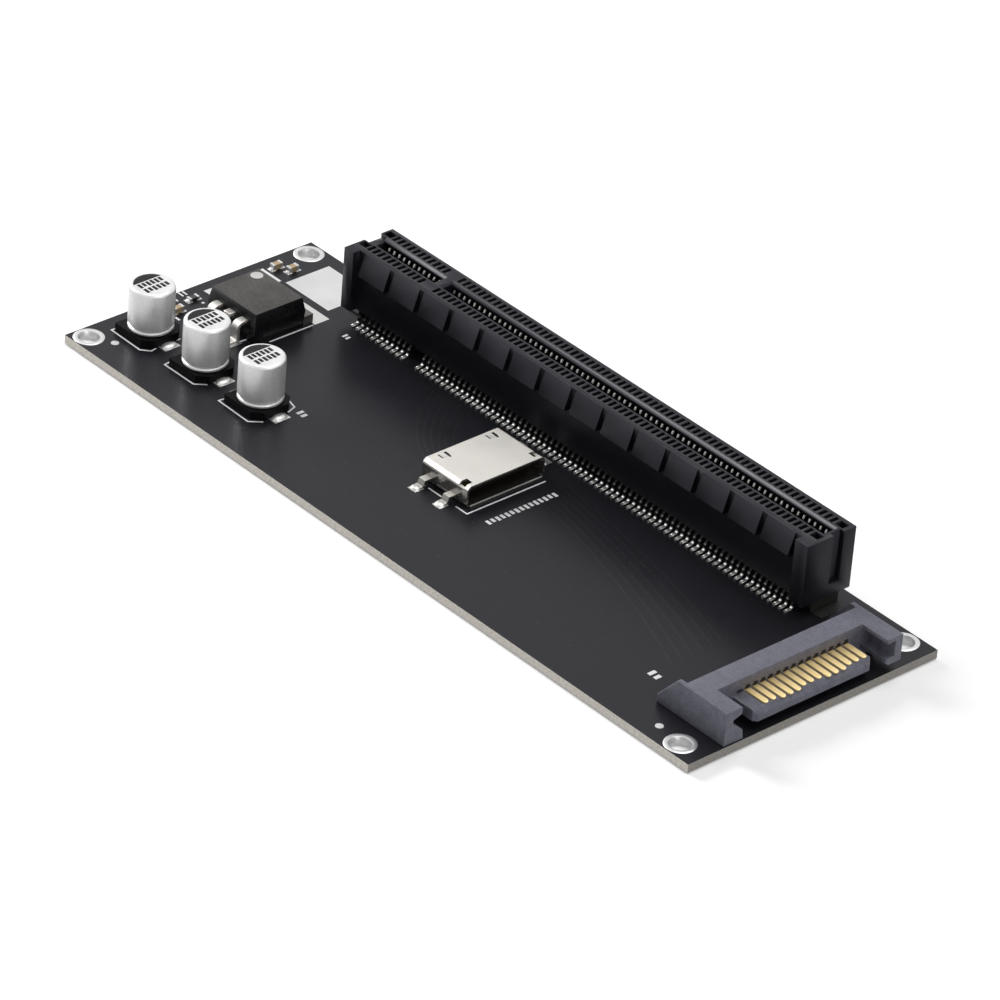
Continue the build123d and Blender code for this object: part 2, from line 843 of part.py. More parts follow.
# Chips
for number, place in enumerate(chip_capacitor_places, start=1):
    chip_pieces(f"chip_capacitor_{number}", place, chip_capacitor_width, chip_capacitor_height)
chip_pieces("chip_resistor", chip_resistor_place, chip_resistor_width, chip_resistor_height)
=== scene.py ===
import bpy
import bmesh
import json
import math
from mathutils import Matrix, Vector


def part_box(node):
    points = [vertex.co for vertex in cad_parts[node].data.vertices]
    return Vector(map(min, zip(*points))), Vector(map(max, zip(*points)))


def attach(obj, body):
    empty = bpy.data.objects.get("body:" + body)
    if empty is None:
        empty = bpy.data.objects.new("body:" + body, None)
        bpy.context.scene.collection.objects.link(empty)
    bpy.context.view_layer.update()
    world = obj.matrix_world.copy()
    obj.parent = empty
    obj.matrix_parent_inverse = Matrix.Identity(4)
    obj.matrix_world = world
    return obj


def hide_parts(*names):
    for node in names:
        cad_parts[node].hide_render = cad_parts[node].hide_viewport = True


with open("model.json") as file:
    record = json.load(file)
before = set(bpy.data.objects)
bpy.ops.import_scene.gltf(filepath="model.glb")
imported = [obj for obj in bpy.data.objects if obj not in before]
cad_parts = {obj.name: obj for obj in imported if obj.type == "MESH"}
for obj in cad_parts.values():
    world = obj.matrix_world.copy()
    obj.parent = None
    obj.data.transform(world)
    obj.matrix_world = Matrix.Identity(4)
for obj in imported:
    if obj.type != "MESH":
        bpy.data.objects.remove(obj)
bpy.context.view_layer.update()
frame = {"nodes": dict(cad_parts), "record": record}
nodes = frame["nodes"]

# Places are in millimetres from the board's left and near edges and above its top face
MM = 0.001
BOARD_LOW, BOARD_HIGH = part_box("circuit_board")
LEFT = BOARD_LOW.x
NEAR = BOARD_LOW.y
TOP = BOARD_HIGH.z
BOARD_THICKNESS = (BOARD_HIGH.z - BOARD_LOW.z) / MM


def on_board(x, y, height=0.0):
    """A point given from the board's left and near edges and its top, in millimetres."""
    return Vector((LEFT + x * MM, NEAR + y * MM, TOP + height * MM))


def board_box(node):
    """A node's lowest and highest corners in board millimetres."""
    low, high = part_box(node)
    origin = on_board(0, 0)
    return (low - origin) / MM, (high - origin) / MM


def linked(name, data):
    """A new object in the scene."""
    thing = bpy.data.objects.new(name, data)
    bpy.context.scene.collection.objects.link(thing)
    return thing


# Camera, fitted to the photograph: distances in metres, focal length in pixels
PHOTO_SIZE = 1000
FOCAL_PIXELS = 6348.56
SENSOR = 36.0
AZIMUTH = math.radians(46.03)
ELEVATION = math.radians(32.445)
ROLL = math.radians(4.753)
CAMERA_DISTANCE = 0.80228
CAMERA_TARGET = on_board(63.044, 20.307)
CLIP_START = 0.01
CLIP_END = 20


def make_camera():
    forward = Vector((
        -math.sin(AZIMUTH) * math.cos(ELEVATION),
        math.cos(AZIMUTH) * math.cos(ELEVATION),
        -math.sin(ELEVATION),
    ))
    level = Vector((math.cos(AZIMUTH), math.sin(AZIMUTH), 0))
    upright = level.cross(forward)
    right = level * math.cos(ROLL) + upright * math.sin(ROLL)
    up = upright * math.cos(ROLL) - level * math.sin(ROLL)
    data = bpy.data.cameras.new("photo_camera")
    data.sensor_width = SENSOR
    data.lens = FOCAL_PIXELS * SENSOR / PHOTO_SIZE
    data.clip_start = CLIP_START
    data.clip_end = CLIP_END
    camera = linked("photo_camera", data)
    turn = Matrix((right, up, -forward)).transposed().to_4x4()
    camera.matrix_world = Matrix.Translation(CAMERA_TARGET - forward * CAMERA_DISTANCE) @ turn
    bpy.context.scene.camera = camera


# Shader helpers

def opened(material):
    """The node tree of a material and its surface shader."""
    return material.node_tree, material.node_tree.nodes["Principled BSDF"]


def set_inputs(node, values):
    for name, value in values.items():
        node.inputs[name].default_value = value


def math_node(tree, operation, first, second=None, clamp=False):
    """A Math node; each input is a number or a socket."""
    node = tree.nodes.new("ShaderNodeMath")
    node.operation = operation
    node.use_clamp = clamp
    for socket, value in zip(node.inputs, (first, second)):
        if value is None:
            continue
        if isinstance(value, (int, float)):
            socket.default_value = value
        else:
            tree.links.new(value, socket)
    return node.outputs[0]


def parts(tree, vector):
    """The X, Y and Z sockets of a vector socket."""
    split = tree.nodes.new("ShaderNodeSeparateXYZ")
    tree.links.new(vector, split.inputs[0])
    return split.outputs


def object_coords(tree):
    return tree.nodes.new("ShaderNodeTexCoord").outputs["Object"]


def face_normal(tree):
    return tree.nodes.new("ShaderNodeNewGeometry").outputs["Normal"]


def vector_math(tree, operation, first, second=None):
    """A Vector Math node with its first input linked and its second a plain vector."""
    node = tree.nodes.new("ShaderNodeVectorMath")
    node.operation = operation
    tree.links.new(first, node.inputs[0])
    if second is not None:
        node.inputs[1].default_value = second
    return node


def mix_colors(tree, factor, first, second):
    """A colour mix; each colour is a socket or a plain colour."""
    mix = tree.nodes.new("ShaderNodeMix")
    mix.data_type = "RGBA"
    tree.links.new(factor, mix.inputs["Factor"])
    for name, value in (("A", first), ("B", second)):
        if isinstance(value, tuple):
            mix.inputs[name].default_value = (*value, 1)
        else:
            tree.links.new(value, mix.inputs[name])
    return mix.outputs["Result"]


def noise(tree, coords, size, detail):
    """Noise whose features are about size millimetres across."""
    texture = tree.nodes.new("ShaderNodeTexNoise")
    texture.inputs["Detail"].default_value = detail
    tree.links.new(coords, texture.inputs["Vector"])
    if isinstance(size, (int, float)):
        texture.inputs["Scale"].default_value = 1 / (size * MM)
    else:
        tree.links.new(math_node(tree, "DIVIDE", 1 / MM, size), texture.inputs["Scale"])
    return texture.outputs["Fac"]


def new_group(name, kind, inputs, outputs):
    """A node group with named sockets: its tree, and the sockets inside it that give and take."""
    tree = bpy.data.node_groups.new(name, kind)
    for way, sockets in (("INPUT", inputs), ("OUTPUT", outputs)):
        for socket, sort in sockets.items():
            tree.interface.new_socket(name=socket, in_out=way, socket_type="NodeSocket" + sort)
    return tree, tree.nodes.new("NodeGroupInput").outputs, tree.nodes.new("NodeGroupOutput").inputs


def surface_group():
    """Fine grain and soft blotches for any finish, read from Object coordinates."""
    tree, inside, outside = new_group("fine_surface", "ShaderNodeTree", {
        "Grain Size": "Float", "Blotch Size": "Float", "Color": "Color", "Color Change": "Float",
        "Roughness": "Float", "Roughness Change": "Float",
    }, {"Color": "Color", "Roughness": "Float", "Height": "Float"})
    coords = object_coords(tree)
    grain = noise(tree, coords, inside["Grain Size"], detail=3)
    blotch = noise(tree, coords, inside["Blotch Size"], detail=4)
    centred = math_node(tree, "SUBTRACT", math_node(tree, "ADD", grain, blotch), 1.0)
    change = math_node(tree, "MULTIPLY", centred, inside["Color Change"])
    scaled = vector_math(tree, "SCALE", inside["Color"])
    tree.links.new(math_node(tree, "ADD", change, 1.0), scaled.inputs["Scale"])
    tree.links.new(scaled.outputs[0], outside["Color"])
    rough = math_node(tree, "MULTIPLY", centred, inside["Roughness Change"])
    rough = math_node(tree, "ADD", rough, inside["Roughness"], clamp=True)
    tree.links.new(rough, outside["Roughness"])
    tree.links.new(grain, outside["Height"])
    return tree


def upright_group():
    """A mask of the faces that stand upright, such as cut edges and walls."""
    tree, inside, outside = new_group(
        "upright_faces", "ShaderNodeTree", {"Limit": "Float"}, {"Mask": "Float"},
    )
    lean = math_node(tree, "ABSOLUTE", parts(tree, face_normal(tree))["Z"])
    tree.links.new(math_node(tree, "LESS_THAN", lean, inside["Limit"]), outside["Mask"])
    return tree


FINE_SURFACE = surface_group()
UPRIGHT_FACES = upright_group()


def upright_mask(tree, limit):
    """1 where the height part of a face's normal is below the limit, 0 elsewhere."""
    group = tree.nodes.new("ShaderNodeGroup")
    group.node_tree = UPRIGHT_FACES
    set_inputs(group, {"Limit": limit})
    return group.outputs["Mask"]


def finish_material(
    name, color, roughness, metallic=0.0, grain=0.12, blotch=3.0, color_change=0.12,
    rough_change=0.15, bump=0.15, bump_depth=0.01, specular=0.5, tint=(1.0, 1.0, 1.0),
):
    """A procedural finish: colour and roughness that vary finely, with a little relief."""
    material = bpy.data.materials.new(name)
    material.use_nodes = True
    tree, shader = opened(material)
    group = tree.nodes.new("ShaderNodeGroup")
    group.node_tree = FINE_SURFACE
    set_inputs(group, {
        "Grain Size": grain, "Blotch Size": blotch, "Color": (*color, 1),
        "Color Change": color_change, "Roughness": roughness, "Roughness Change": rough_change,
    })
    set_inputs(shader, {
        "Metallic": metallic, "Specular IOR Level": specular, "Specular Tint": (*tint, 1),
    })
    tree.links.new(group.outputs["Color"], shader.inputs["Base Color"])
    tree.links.new(group.outputs["Roughness"], shader.inputs["Roughness"])
    relief = tree.nodes.new("ShaderNodeBump")
    set_inputs(relief, {"Strength": bump, "Distance": bump_depth * MM})
    tree.links.new(group.outputs["Height"], relief.inputs["Height"])
    tree.links.new(relief.outputs["Normal"], shader.inputs["Normal"])
    return material


def height_mask(tree, start, end):
    """Goes from 0 at the start height to 1 at the end height, both in millimetres above the board."""
    level = tree.nodes.new("ShaderNodeMapRange")
    set_inputs(level, {"From Min": TOP + start * MM, "From Max": TOP + end * MM})
    tree.links.new(parts(tree, object_coords(tree))["Z"], level.inputs["Value"])
    return level.outputs["Result"]


# Heights in millimetres where the look of a slot contact starts and has fully changed: painted shade on
# the risers and beams, a painted glint on the shoulders and a painted highlight on the tips
RISER_SHADE_HEIGHTS = (0.25, 0.5)
SHOULDER_STARTS = (0.88, 0.98)
SHOULDER_ENDS = (1.15, 0.95)
TIP_HIGHLIGHT_STARTS = (9.46, 9.52)
TIP_HIGHLIGHT_ENDS = (9.96, 9.84)
SHOULDER_GLINT = 0.25
BEAM_METAL = 0.85
TIP_HIGHLIGHT_LESS_METAL = 0.6
RISER_SHADE_COLOR = (0.01, 0.01, 0.009)
TIP_HIGHLIGHT_COLOR = (0.95, 0.94, 0.9)


def contact_material():
    """Spring contacts: bright feet, risers and beams dark with painted shade, a faint painted glint on
    the shoulders and a painted highlight on the tips.
    """
    material = finish_material("slot_contact_painted_light", (0.8, 0.79, 0.76), 0.34, metallic=0.8, grain=0.2)
    tree, shader = opened(material)
    bright = shader.inputs["Base Color"].links[0].from_socket
    # Painted shade: above the feet the risers and beams turn near black
    riser = height_mask(tree, *RISER_SHADE_HEIGHTS)
    # Painted glint: a faint band of the bright colour on the shoulders
    shoulder = math_node(
        tree, "MULTIPLY", height_mask(tree, *SHOULDER_STARTS), height_mask(tree, *SHOULDER_ENDS),
    )
    # Painted highlight: the tips turn near white and less metallic
    tip = math_node(tree, "MULTIPLY", height_mask(tree, *TIP_HIGHLIGHT_STARTS), height_mask(tree, *TIP_HIGHLIGHT_ENDS))
    color = mix_colors(tree, riser, bright, RISER_SHADE_COLOR)
    color = mix_colors(tree, math_node(tree, "MULTIPLY", shoulder, SHOULDER_GLINT), color, bright)
    color = mix_colors(tree, tip, color, TIP_HIGHLIGHT_COLOR)
    tree.links.new(color, shader.inputs["Base Color"])
    metal = math_node(tree, "SUBTRACT", BEAM_METAL, math_node(tree, "MULTIPLY", tip, TIP_HIGHLIGHT_LESS_METAL))
    tree.links.new(metal, shader.inputs["Metallic"])
    return material


WALL_LIMIT = 0.4


def with_shaded_polished_sides(material, side_shade_color, side_gloss):
    """Makes the upright faces of a finish smoother than its top, and darker in colour as painted shade.
    """
    tree, shader = opened(material)
    satin = shader.inputs["Roughness"].links[0].from_socket
    plain = shader.inputs["Base Color"].links[0].from_socket
    wall = upright_mask(tree, WALL_LIMIT)
    smoother = math_node(tree, "MULTIPLY", wall, side_gloss)
    rough = math_node(tree, "SUBTRACT", satin, smoother, clamp=True)
    tree.links.new(rough, shader.inputs["Roughness"])
    # Painted shade: the upright faces take the darker side colour
    tree.links.new(mix_colors(tree, wall, plain, side_shade_color), shader.inputs["Base Color"])
    return material


# Where the regulator's pad comes out from under the mask, from the board's near edge
PAD_BARE_FROM = 28.6
PAD_MASK_COLOR = (0.008, 0.008, 0.009)
PAD_METAL = 0.85


def partly_masked_pad():
    """The regulator's pad: mask beside the body, bare tin past its tab."""
    material = finish_material("tinned_pad", (0.62, 0.62, 0.61), 0.34, metallic=PAD_METAL, grain=0.25)
    tree, shader = opened(material)
    along = parts(tree, object_coords(tree))["Y"]
    bare = math_node(tree, "GREATER_THAN", along, on_board(0, PAD_BARE_FROM).y)
    plain = shader.inputs["Base Color"].links[0].from_socket
    tree.links.new(mix_colors(tree, bare, PAD_MASK_COLOR, plain), shader.inputs["Base Color"])
    tree.links.new(math_node(tree, "MULTIPLY", bare, PAD_METAL), shader.inputs["Metallic"])
    return material


# Mounting holes and their plated rings, in board millimetres
HOLE_PLACES = ((2.2, 2.25), (2.2, 39.75), (116.2, 2.25), (116.2, 39.75))
HOLE_RADIUS = 1.5
RING_RADIUS = 2.1
PLATING_COLOR = (0.8, 0.8, 0.79)

# Cut edges of the board: the two long ones are painted paler than the ends, as painted light
EDGE_LIMIT = 0.5
EDGE_DARK = (0.23, 0.218, 0.195, 1)
EDGE_LIGHT = (0.4, 0.382, 0.35, 1)
EDGE_STOPS = (0.3, 0.7)
EDGE_ROUGHER = 0.4
LONG_EDGE_PAINTED_LIGHT = 1.1
FIBRE_SIZE = 0.16
FIBRE_STRETCH = (0.35, 0.35, 1.6)

# Reflections on the black surfaces lean to blue
DARK_TINT = (0.9, 0.9, 1.0)


def board_material():
    """Black solder mask on the faces, bare laminate on the cut edges and plating round the holes."""
    material = finish_material(
        "black_solder_mask", (0.011, 0.011, 0.014), 0.3, grain=0.35, blotch=9.0,
        color_change=0.3, rough_change=0.1, bump=0.2, bump_depth=0.004, specular=0.21,
        tint=DARK_TINT,
    )
    tree, shader = opened(material)
    mask_color = shader.inputs["Base Color"].links[0].from_socket
    mask_rough = shader.inputs["Roughness"].links[0].from_socket
    side = upright_mask(tree, EDGE_LIMIT)
    coords = object_coords(tree)
    ramp = tree.nodes.new("ShaderNodeValToRGB")
    for element, position, tone in zip(ramp.color_ramp.elements, EDGE_STOPS, (EDGE_DARK, EDGE_LIGHT)):
        element.position = position
        element.color = tone
    fibres = tree.nodes.new("ShaderNodeMapping")
    set_inputs(fibres, {"Scale": FIBRE_STRETCH})
    tree.links.new(coords, fibres.inputs["Vector"])
    tree.links.new(noise(tree, fibres.outputs["Vector"], FIBRE_SIZE, detail=4), ramp.inputs["Fac"])
    # Painted light: the long edges, which face along Y, are made brighter than the ends
    facing = math_node(tree, "ABSOLUTE", parts(tree, face_normal(tree))["Y"])
    long_edge = math_node(tree, "GREATER_THAN", facing, EDGE_LIMIT)
    edge_tone_painted_light = vector_math(tree, "SCALE", ramp.outputs["Color"])
    painted_light_gain = math_node(tree, "ADD", math_node(tree, "MULTIPLY", long_edge, LONG_EDGE_PAINTED_LIGHT), 1.0)
    tree.links.new(painted_light_gain, edge_tone_painted_light.inputs["Scale"])
    color = mix_colors(tree, side, mask_color, edge_tone_painted_light.outputs[0])
    flat = vector_math(tree, "MULTIPLY", coords, (1, 1, 0)).outputs[0]
    plated = None
    for x, y in HOLE_PLACES:
        centre = on_board(x, y)
        distance = vector_math(tree, "DISTANCE", flat, (centre.x, centre.y, 0))
        near_hole = math_node(tree, "LESS_THAN", distance.outputs["Value"], RING_RADIUS * MM)
        plated = near_hole if plated is None else math_node(tree, "MAXIMUM", plated, near_hole)
    color = mix_colors(tree, plated, color, PLATING_COLOR)
    tree.links.new(color, shader.inputs["Base Color"])
    tree.links.new(plated, shader.inputs["Metallic"])
    rougher = math_node(tree, "MULTIPLY", side, EDGE_ROUGHER)
    rough = math_node(tree, "ADD", mask_rough, rougher, clamp=True)
    tree.links.new(rough, shader.inputs["Roughness"])
    return material


# Finishes, by the record's material slots
MATERIALS = {
    "board_mask": board_material(),
    "tin": finish_material(
        "bright_tin", (0.66, 0.66, 0.66), 0.36, metallic=0.85, grain=0.25, bump=0.3, bump_depth=0.02,
    ),
    "slot_plastic": finish_material(
        "satin_black_moulding", (0.006, 0.006, 0.009), 0.42, grain=0.1, color_change=0.15,
        bump=0.2, bump_depth=0.008, specular=0.3, tint=DARK_TINT,
    ),
    "slot_contact_metal": contact_material(),
    # Painted shade: the shell's upright walls are much darker than its top, standing in for the dark
    # board they mirror
    "shell_metal": with_shaded_polished_sides(finish_material(
        "nickel_sheet", (0.63, 0.61, 0.575), 0.5, metallic=0.8, grain=0.3, blotch=5.0,
        bump_depth=0.006,
    ), (0.26, 0.25, 0.235), 0.32),
    "insulator_plastic": finish_material(
        "insulator_moulding", (0.012, 0.01, 0.009), 0.75, specular=0.12,
    ),
    "contact_gold": finish_material(
        "contact_gold", (0.95, 0.74, 0.36), 0.42, metallic=0.6, grain=0.2,
    ),
    "plug_plastic": finish_material(
        "blue_grey_moulding", (0.13, 0.13, 0.162), 0.5, grain=0.3, blotch=1.2, color_change=0.8,
        rough_change=0.3, bump=0.5, bump_depth=0.03, specular=0.42, tint=DARK_TINT,
    ),
    "can_metal": finish_material(
        "drawn_can", (0.8, 0.8, 0.8), 0.36, metallic=0.55, grain=0.25, color_change=0.3,
    ),
    "base_plastic": finish_material("base_moulding", (0.003, 0.003, 0.004), 0.5, specular=0.08),
    # Painted shade: the regulator's upright sides are near black, darker than its top
    "regulator_plastic": with_shaded_polished_sides(finish_material(
        "grained_moulding", (0.05, 0.047, 0.043), 0.6, grain=0.3, color_change=2.0,
        rough_change=0.3, bump=0.5, bump_depth=0.03, specular=0.35,
    ), (0.004, 0.004, 0.005), 0.3),
    "capacitor_ceramic": finish_material("tan_ceramic", (0.42, 0.31, 0.18), 0.45),
    "resistor_film": finish_material("dark_film", (0.02, 0.02, 0.022), 0.3),
}

# Finishes of the added pieces
PRINT_WHITE = finish_material("white_print", (0.78, 0.78, 0.79), 0.6, grain=0.15, color_change=0.25)
# Black for the print on the cans, and for the plates of painted shade in the receptacle and the plug
PRINT_AND_SHADE_BLACK = finish_material("black_print_and_painted_shade", (0.008, 0.008, 0.008), 0.6, grain=0.15, specular=0.2)
COPPER_UNDER_MASK = finish_material(
    "mask_over_copper", (0.013, 0.013, 0.014), 0.3, grain=0.35, blotch=9.0, color_change=0.3,
    bump=0.2, bump_depth=0.004, specular=0.26, tint=DARK_TINT,
)
SOLDER = finish_material(
    "solder", (0.66, 0.66, 0.64), 0.36, metallic=0.7, grain=0.4, color_change=0.9, bump=0.6,
    bump_depth=0.03,
)
# The slot's board locks: sheet metal given a near-black colour as painted shade under the housing's ends
LOCK_SHADED_METAL = finish_material(
    "lock_sheet_painted_shade", (0.02, 0.019, 0.018), 0.5, grain=0.4, color_change=1.5, specular=0.25,
)
LEAD_METAL = finish_material("tinned_lead", (0.62, 0.6, 0.57), 0.38, metallic=0.8, grain=0.25)
# The regulator's tab: tinned metal given a dark colour as painted shade
TAB_SHADED_METAL = finish_material("tab_painted_shade", (0.12, 0.115, 0.11), 0.45, metallic=0.7)
# The regulator's dimple: black moulding given a light grey, part metallic colour as a painted reflection
DIMPLE_PAINTED_SHEEN = finish_material("dimple_painted_sheen", (0.6, 0.59, 0.57), 0.25, metallic=0.4, bump=0.05)


def dress_cad_nodes():
    """Gives every CAD node the finish of its record slot."""
    slots = {part["node"]: part["material_slot"] for part in frame["record"]["subparts"]}
    for name, thing in nodes.items():
        thing.data.materials.clear()
        thing.data.materials.append(MATERIALS[slots[name]])
    return slots


NODE_SLOTS = dress_cad_nodes()
for lock in ("slot_lock_left", "slot_lock_right"):
    nodes[lock].data.materials[0] = LOCK_SHADED_METAL
nodes["regulator_tab"].data.materials[0] = TAB_SHADED_METAL
nodes["regulator_pad"].data.materials[0] = partly_masked_pad()


# Mesh helpers: all places are board millimetres

def new_piece(name, mesh, slot, finish, stands_for=()):
    """Puts a finished mesh in the scene as a piece of the object."""
    mesh.materials.clear()
    mesh.materials.append(finish)
    piece = linked(name, mesh)
    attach(piece, "root")
    if stands_for:
        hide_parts(*stands_for)
    return piece


def close_mesh(shape, name, smooth=None):
    """Turns a working shape into a mesh with outward faces, smooth below an angle in degrees."""
    bmesh.ops.recalc_face_normals(shape, faces=shape.faces)
    mesh = bpy.data.meshes.new(name)
    shape.to_mesh(mesh)
    shape.free()
    if smooth is not None:
        mesh.shade_smooth()
        mesh.set_sharp_from_angle(angle=math.radians(smooth))
    return mesh


def close_piece(name, shape, slot, finish, smooth=None, stands_for=()):
    """Makes a working shape a piece of the object."""
    return new_piece(name, close_mesh(shape, name, smooth), slot, finish, stands_for)


def skin(shape, lower, upper):
    """Puts a band of faces between two equal rings of vertices."""
    for index in range(len(lower)):
        after = (index + 1) % len(lower)
        shape.faces.new((lower[index], lower[after], upper[after], upper[index]))


def add_rings(shape, rings):
    """Skins a run of equal rings of points, with a face over each end."""
    made = [[shape.verts.new(point) for point in ring] for ring in rings]
    for lower, upper in zip(made, made[1:]):
        skin(shape, lower, upper)
    shape.faces.new(made[0][::-1])
    shape.faces.new(made[-1])


def add_plate(shape, outline, low, high):
    """A flat plate with upright sides."""
    add_rings(shape, [[on_board(x, y, height) for x, y in outline] for height in (low, high)])


def add_block(shape, low, high):
    """A plate between two corners, each given as x, y and height."""
    outline = ((low[0], low[1]), (high[0], low[1]), (high[0], high[1]), (low[0], high[1]))
    add_plate(shape, outline, low[2], high[2])


# Least cosine of half a bend, so that no mitred corner runs out too far
SHARPEST_MITRE = 0.35


def mitred(points, width):
    """Each point of a run, with the step from it to the left edge of a band of even width."""
    points = [Vector(point) for point in points]
    runs = [after - before for before, after in zip(points, points[1:])]
    sides = [Vector((-run.y, run.x)).normalized() for run in runs]
    for index, point in enumerate(points):
        before = sides[max(index - 1, 0)]
        after = sides[min(index, len(sides) - 1)]
        middle = (before + after).normalized()
        yield point, middle * (width / 2 / max(middle.dot(after), SHARPEST_MITRE))


def add_stroke(shape, points, width, low, high):
    """A printed line of even width along a run of places, with mitred corners."""
    rings = []
    for point, reach in mitred(points, width):
        start = point - reach
        end = point + reach
        rings.append([
            on_board(start.x, start.y, low), on_board(end.x, end.y, low),
            on_board(end.x, end.y, high), on_board(start.x, start.y, high),
        ])
    add_rings(shape, rings)


DISC_SIDES = 16


def circle(steps):
    """Even points on a circle of radius 1."""
    turns = [2 * math.pi * step / steps for step in range(steps)]
    return [(math.cos(turn), math.sin(turn)) for turn in turns]


def add_disc(shape, x, y, radius, low, high):
    """A thin round plate."""
    outline = [(x + radius * across, y + radius * along) for across, along in circle(DISC_SIDES)]
    add_plate(shape, outline, low, high)


def add_turned(shape, x, y, profile, steps=64):
    """A shape turned about an upright axis.

    The profile is a run of (radius, height) points. It starts and ends on the axis, or else stays
    off it and is closed into a ring.
    """
    rings = [
        [on_board(x + radius * across, y + radius * along, height) for across, along in circle(steps)]
        for radius, height in profile
    ]
    hollow = profile[0][0] > 0
    walls = rings if hollow else rings[1:-1]
    made = [[shape.verts.new(point) for point in ring] for ring in walls]
    for lower, upper in zip(made, made[1:] + made[:1] if hollow else made[1:]):
        skin(shape, lower, upper)
    if hollow:
        return
    for pole, ring in ((rings[0][0], made[0]), (rings[-1][0], made[-1])):
        tip = shape.verts.new(pole)
        for index in range(steps):
            shape.faces.new((tip, ring[index], ring[(index + 1) % steps]))


# Rings of a solder mound, as shares of its width and its height
MOUND_RINGS = ((1.0, 0.0), (0.9, 0.45), (0.6, 0.85), (0.2, 1.0))
# Mounds, as half length, half width and height, and how far one lies under its lead
SHELL_MOUND = (0.8, 0.75, 0.42)
CAN_MOUND = (0.8, 1.2, 0.35)
REGULATOR_MOUND = (0.8, 0.65, 0.45)
CHIP_MOUND = (0.42, 0.3, 0.3)
MOUND_TUCK = 0.1


def add_mound(shape, x, y, half_length, half_width, height, base=0.0, steps=10):
    """A low rounded mound of solder with a flat foot."""
    add_rings(shape, [
        [
            on_board(
                x + half_length * share * across, y + half_width * share * along, base + height * rise,
            )
            for across, along in circle(steps)
        ]
        for share, rise in MOUND_RINGS
    ])


def add_strip(shape, path, thickness, widths, place):
    """A bent strip of sheet along a centre line of (run, height) points.

    place(across, run, height) gives the point in space; widths has one value or one per point.
    """
    if isinstance(widths, (int, float)):
        widths = [widths] * len(path)
    rings = []
    for (point, reach), width in zip(mitred(path, thickness), widths):
        half = width / 2
        above = point + reach
        below = point - reach
        rings.append([
            place(-half, above.x, above.y), place(half, above.x, above.y),
            place(half, below.x, below.y), place(-half, below.x, below.y),
        ])
    add_rings(shape, rings)


def arc(centre, radius, start, end, steps):
    """Points along an arc, with angles in degrees."""
    turns = [math.radians(start + (end - start) * step / steps) for step in range(steps + 1)]
    return [(centre[0] + radius * math.cos(turn), centre[1] + radius * math.sin(turn)) for turn in turns]


def break_edges(piece, width, segments=2, angle=50):
    """Rounds the edges of a piece that are sharper than an angle in degrees."""
    bevel = piece.modifiers.new("broken_edges", "BEVEL")
    bevel.width = width * MM
    bevel.segments = segments
    bevel.limit_method = "ANGLE"
    bevel.angle_limit = math.radians(angle)
    return bevel


# Vertices of a CAD mesh closer than this in metres are one, and faces within this angle are flat
SAME_PLACE = 1e-6
FLAT_ANGLE = math.radians(1)


def softened(node, width, segments, angle):
    """A copy of a CAD node with its edges broken by a small bevel, which stands for the node."""
    mesh = nodes[node].data.copy()
    shape = bmesh.new()
    shape.from_mesh(mesh)
    bmesh.ops.remove_doubles(shape, verts=shape.verts, dist=SAME_PLACE)
    bmesh.ops.dissolve_limit(shape, angle_limit=FLAT_ANGLE, verts=shape.verts, edges=shape.edges)
    shape.to_mesh(mesh)
    shape.free()
    mesh.shade_smooth()
    slot = NODE_SLOTS[node]
    piece = new_piece(node + "_softened", mesh, slot, MATERIALS[slot], (node,))
    break_edges(piece, width, segments, angle).harden_normals = True


def formed_strip(node, path, thickness, widths, place, finish, edge):
    """A bent strip with softened edges that stands for a CAD node."""
    shape = bmesh.new()
    add_strip(shape, path, thickness, widths, place)
    piece = close_piece(node + "_formed", shape, NODE_SLOTS[node], finish, 40, (node,))
    break_edges(piece, edge)


# Geometry Nodes: one item placed at each point, with a little variety in size

def placed_items_tree():
    """Nodes that put one item at every place, with a turn and a size, and make the result real."""
    tree, inside, outside = new_group("items_on_places", "GeometryNodeTree", {
        "Places": "Geometry", "Item": "Object", "Turn": "Float", "Smallest": "Float",
        "Largest": "Float", "Seed": "Int", "Finish": "Material",
    }, {"Pieces": "Geometry"})
    item, points, spread, turn, variety, real, dress = [tree.nodes.new(kind) for kind in (
        "GeometryNodeObjectInfo", "GeometryNodeMeshToPoints", "GeometryNodeInstanceOnPoints",
        "ShaderNodeCombineXYZ", "FunctionNodeRandomValue", "GeometryNodeRealizeInstances",
        "GeometryNodeSetMaterial",
    )]
    variety.data_type = "FLOAT"
    for start, end in (
        (inside["Item"], item.inputs["Object"]), (inside["Places"], points.inputs["Mesh"]),
        (points.outputs["Points"], spread.inputs["Points"]),
        (item.outputs["Geometry"], spread.inputs["Instance"]),
        (inside["Turn"], turn.inputs["Z"]), (turn.outputs[0], spread.inputs["Rotation"]),
        (inside["Smallest"], variety.inputs["Min"]), (inside["Largest"], variety.inputs["Max"]),
        (inside["Seed"], variety.inputs["Seed"]), (variety.outputs[1], spread.inputs["Scale"]),
        (spread.outputs["Instances"], real.inputs["Geometry"]),
        (real.outputs["Geometry"], dress.inputs["Geometry"]),
        (inside["Finish"], dress.inputs["Material"]), (dress.outputs["Geometry"], outside["Pieces"]),
    ):
        tree.links.new(start, end)
    return tree


PLACED_ITEMS = placed_items_tree()


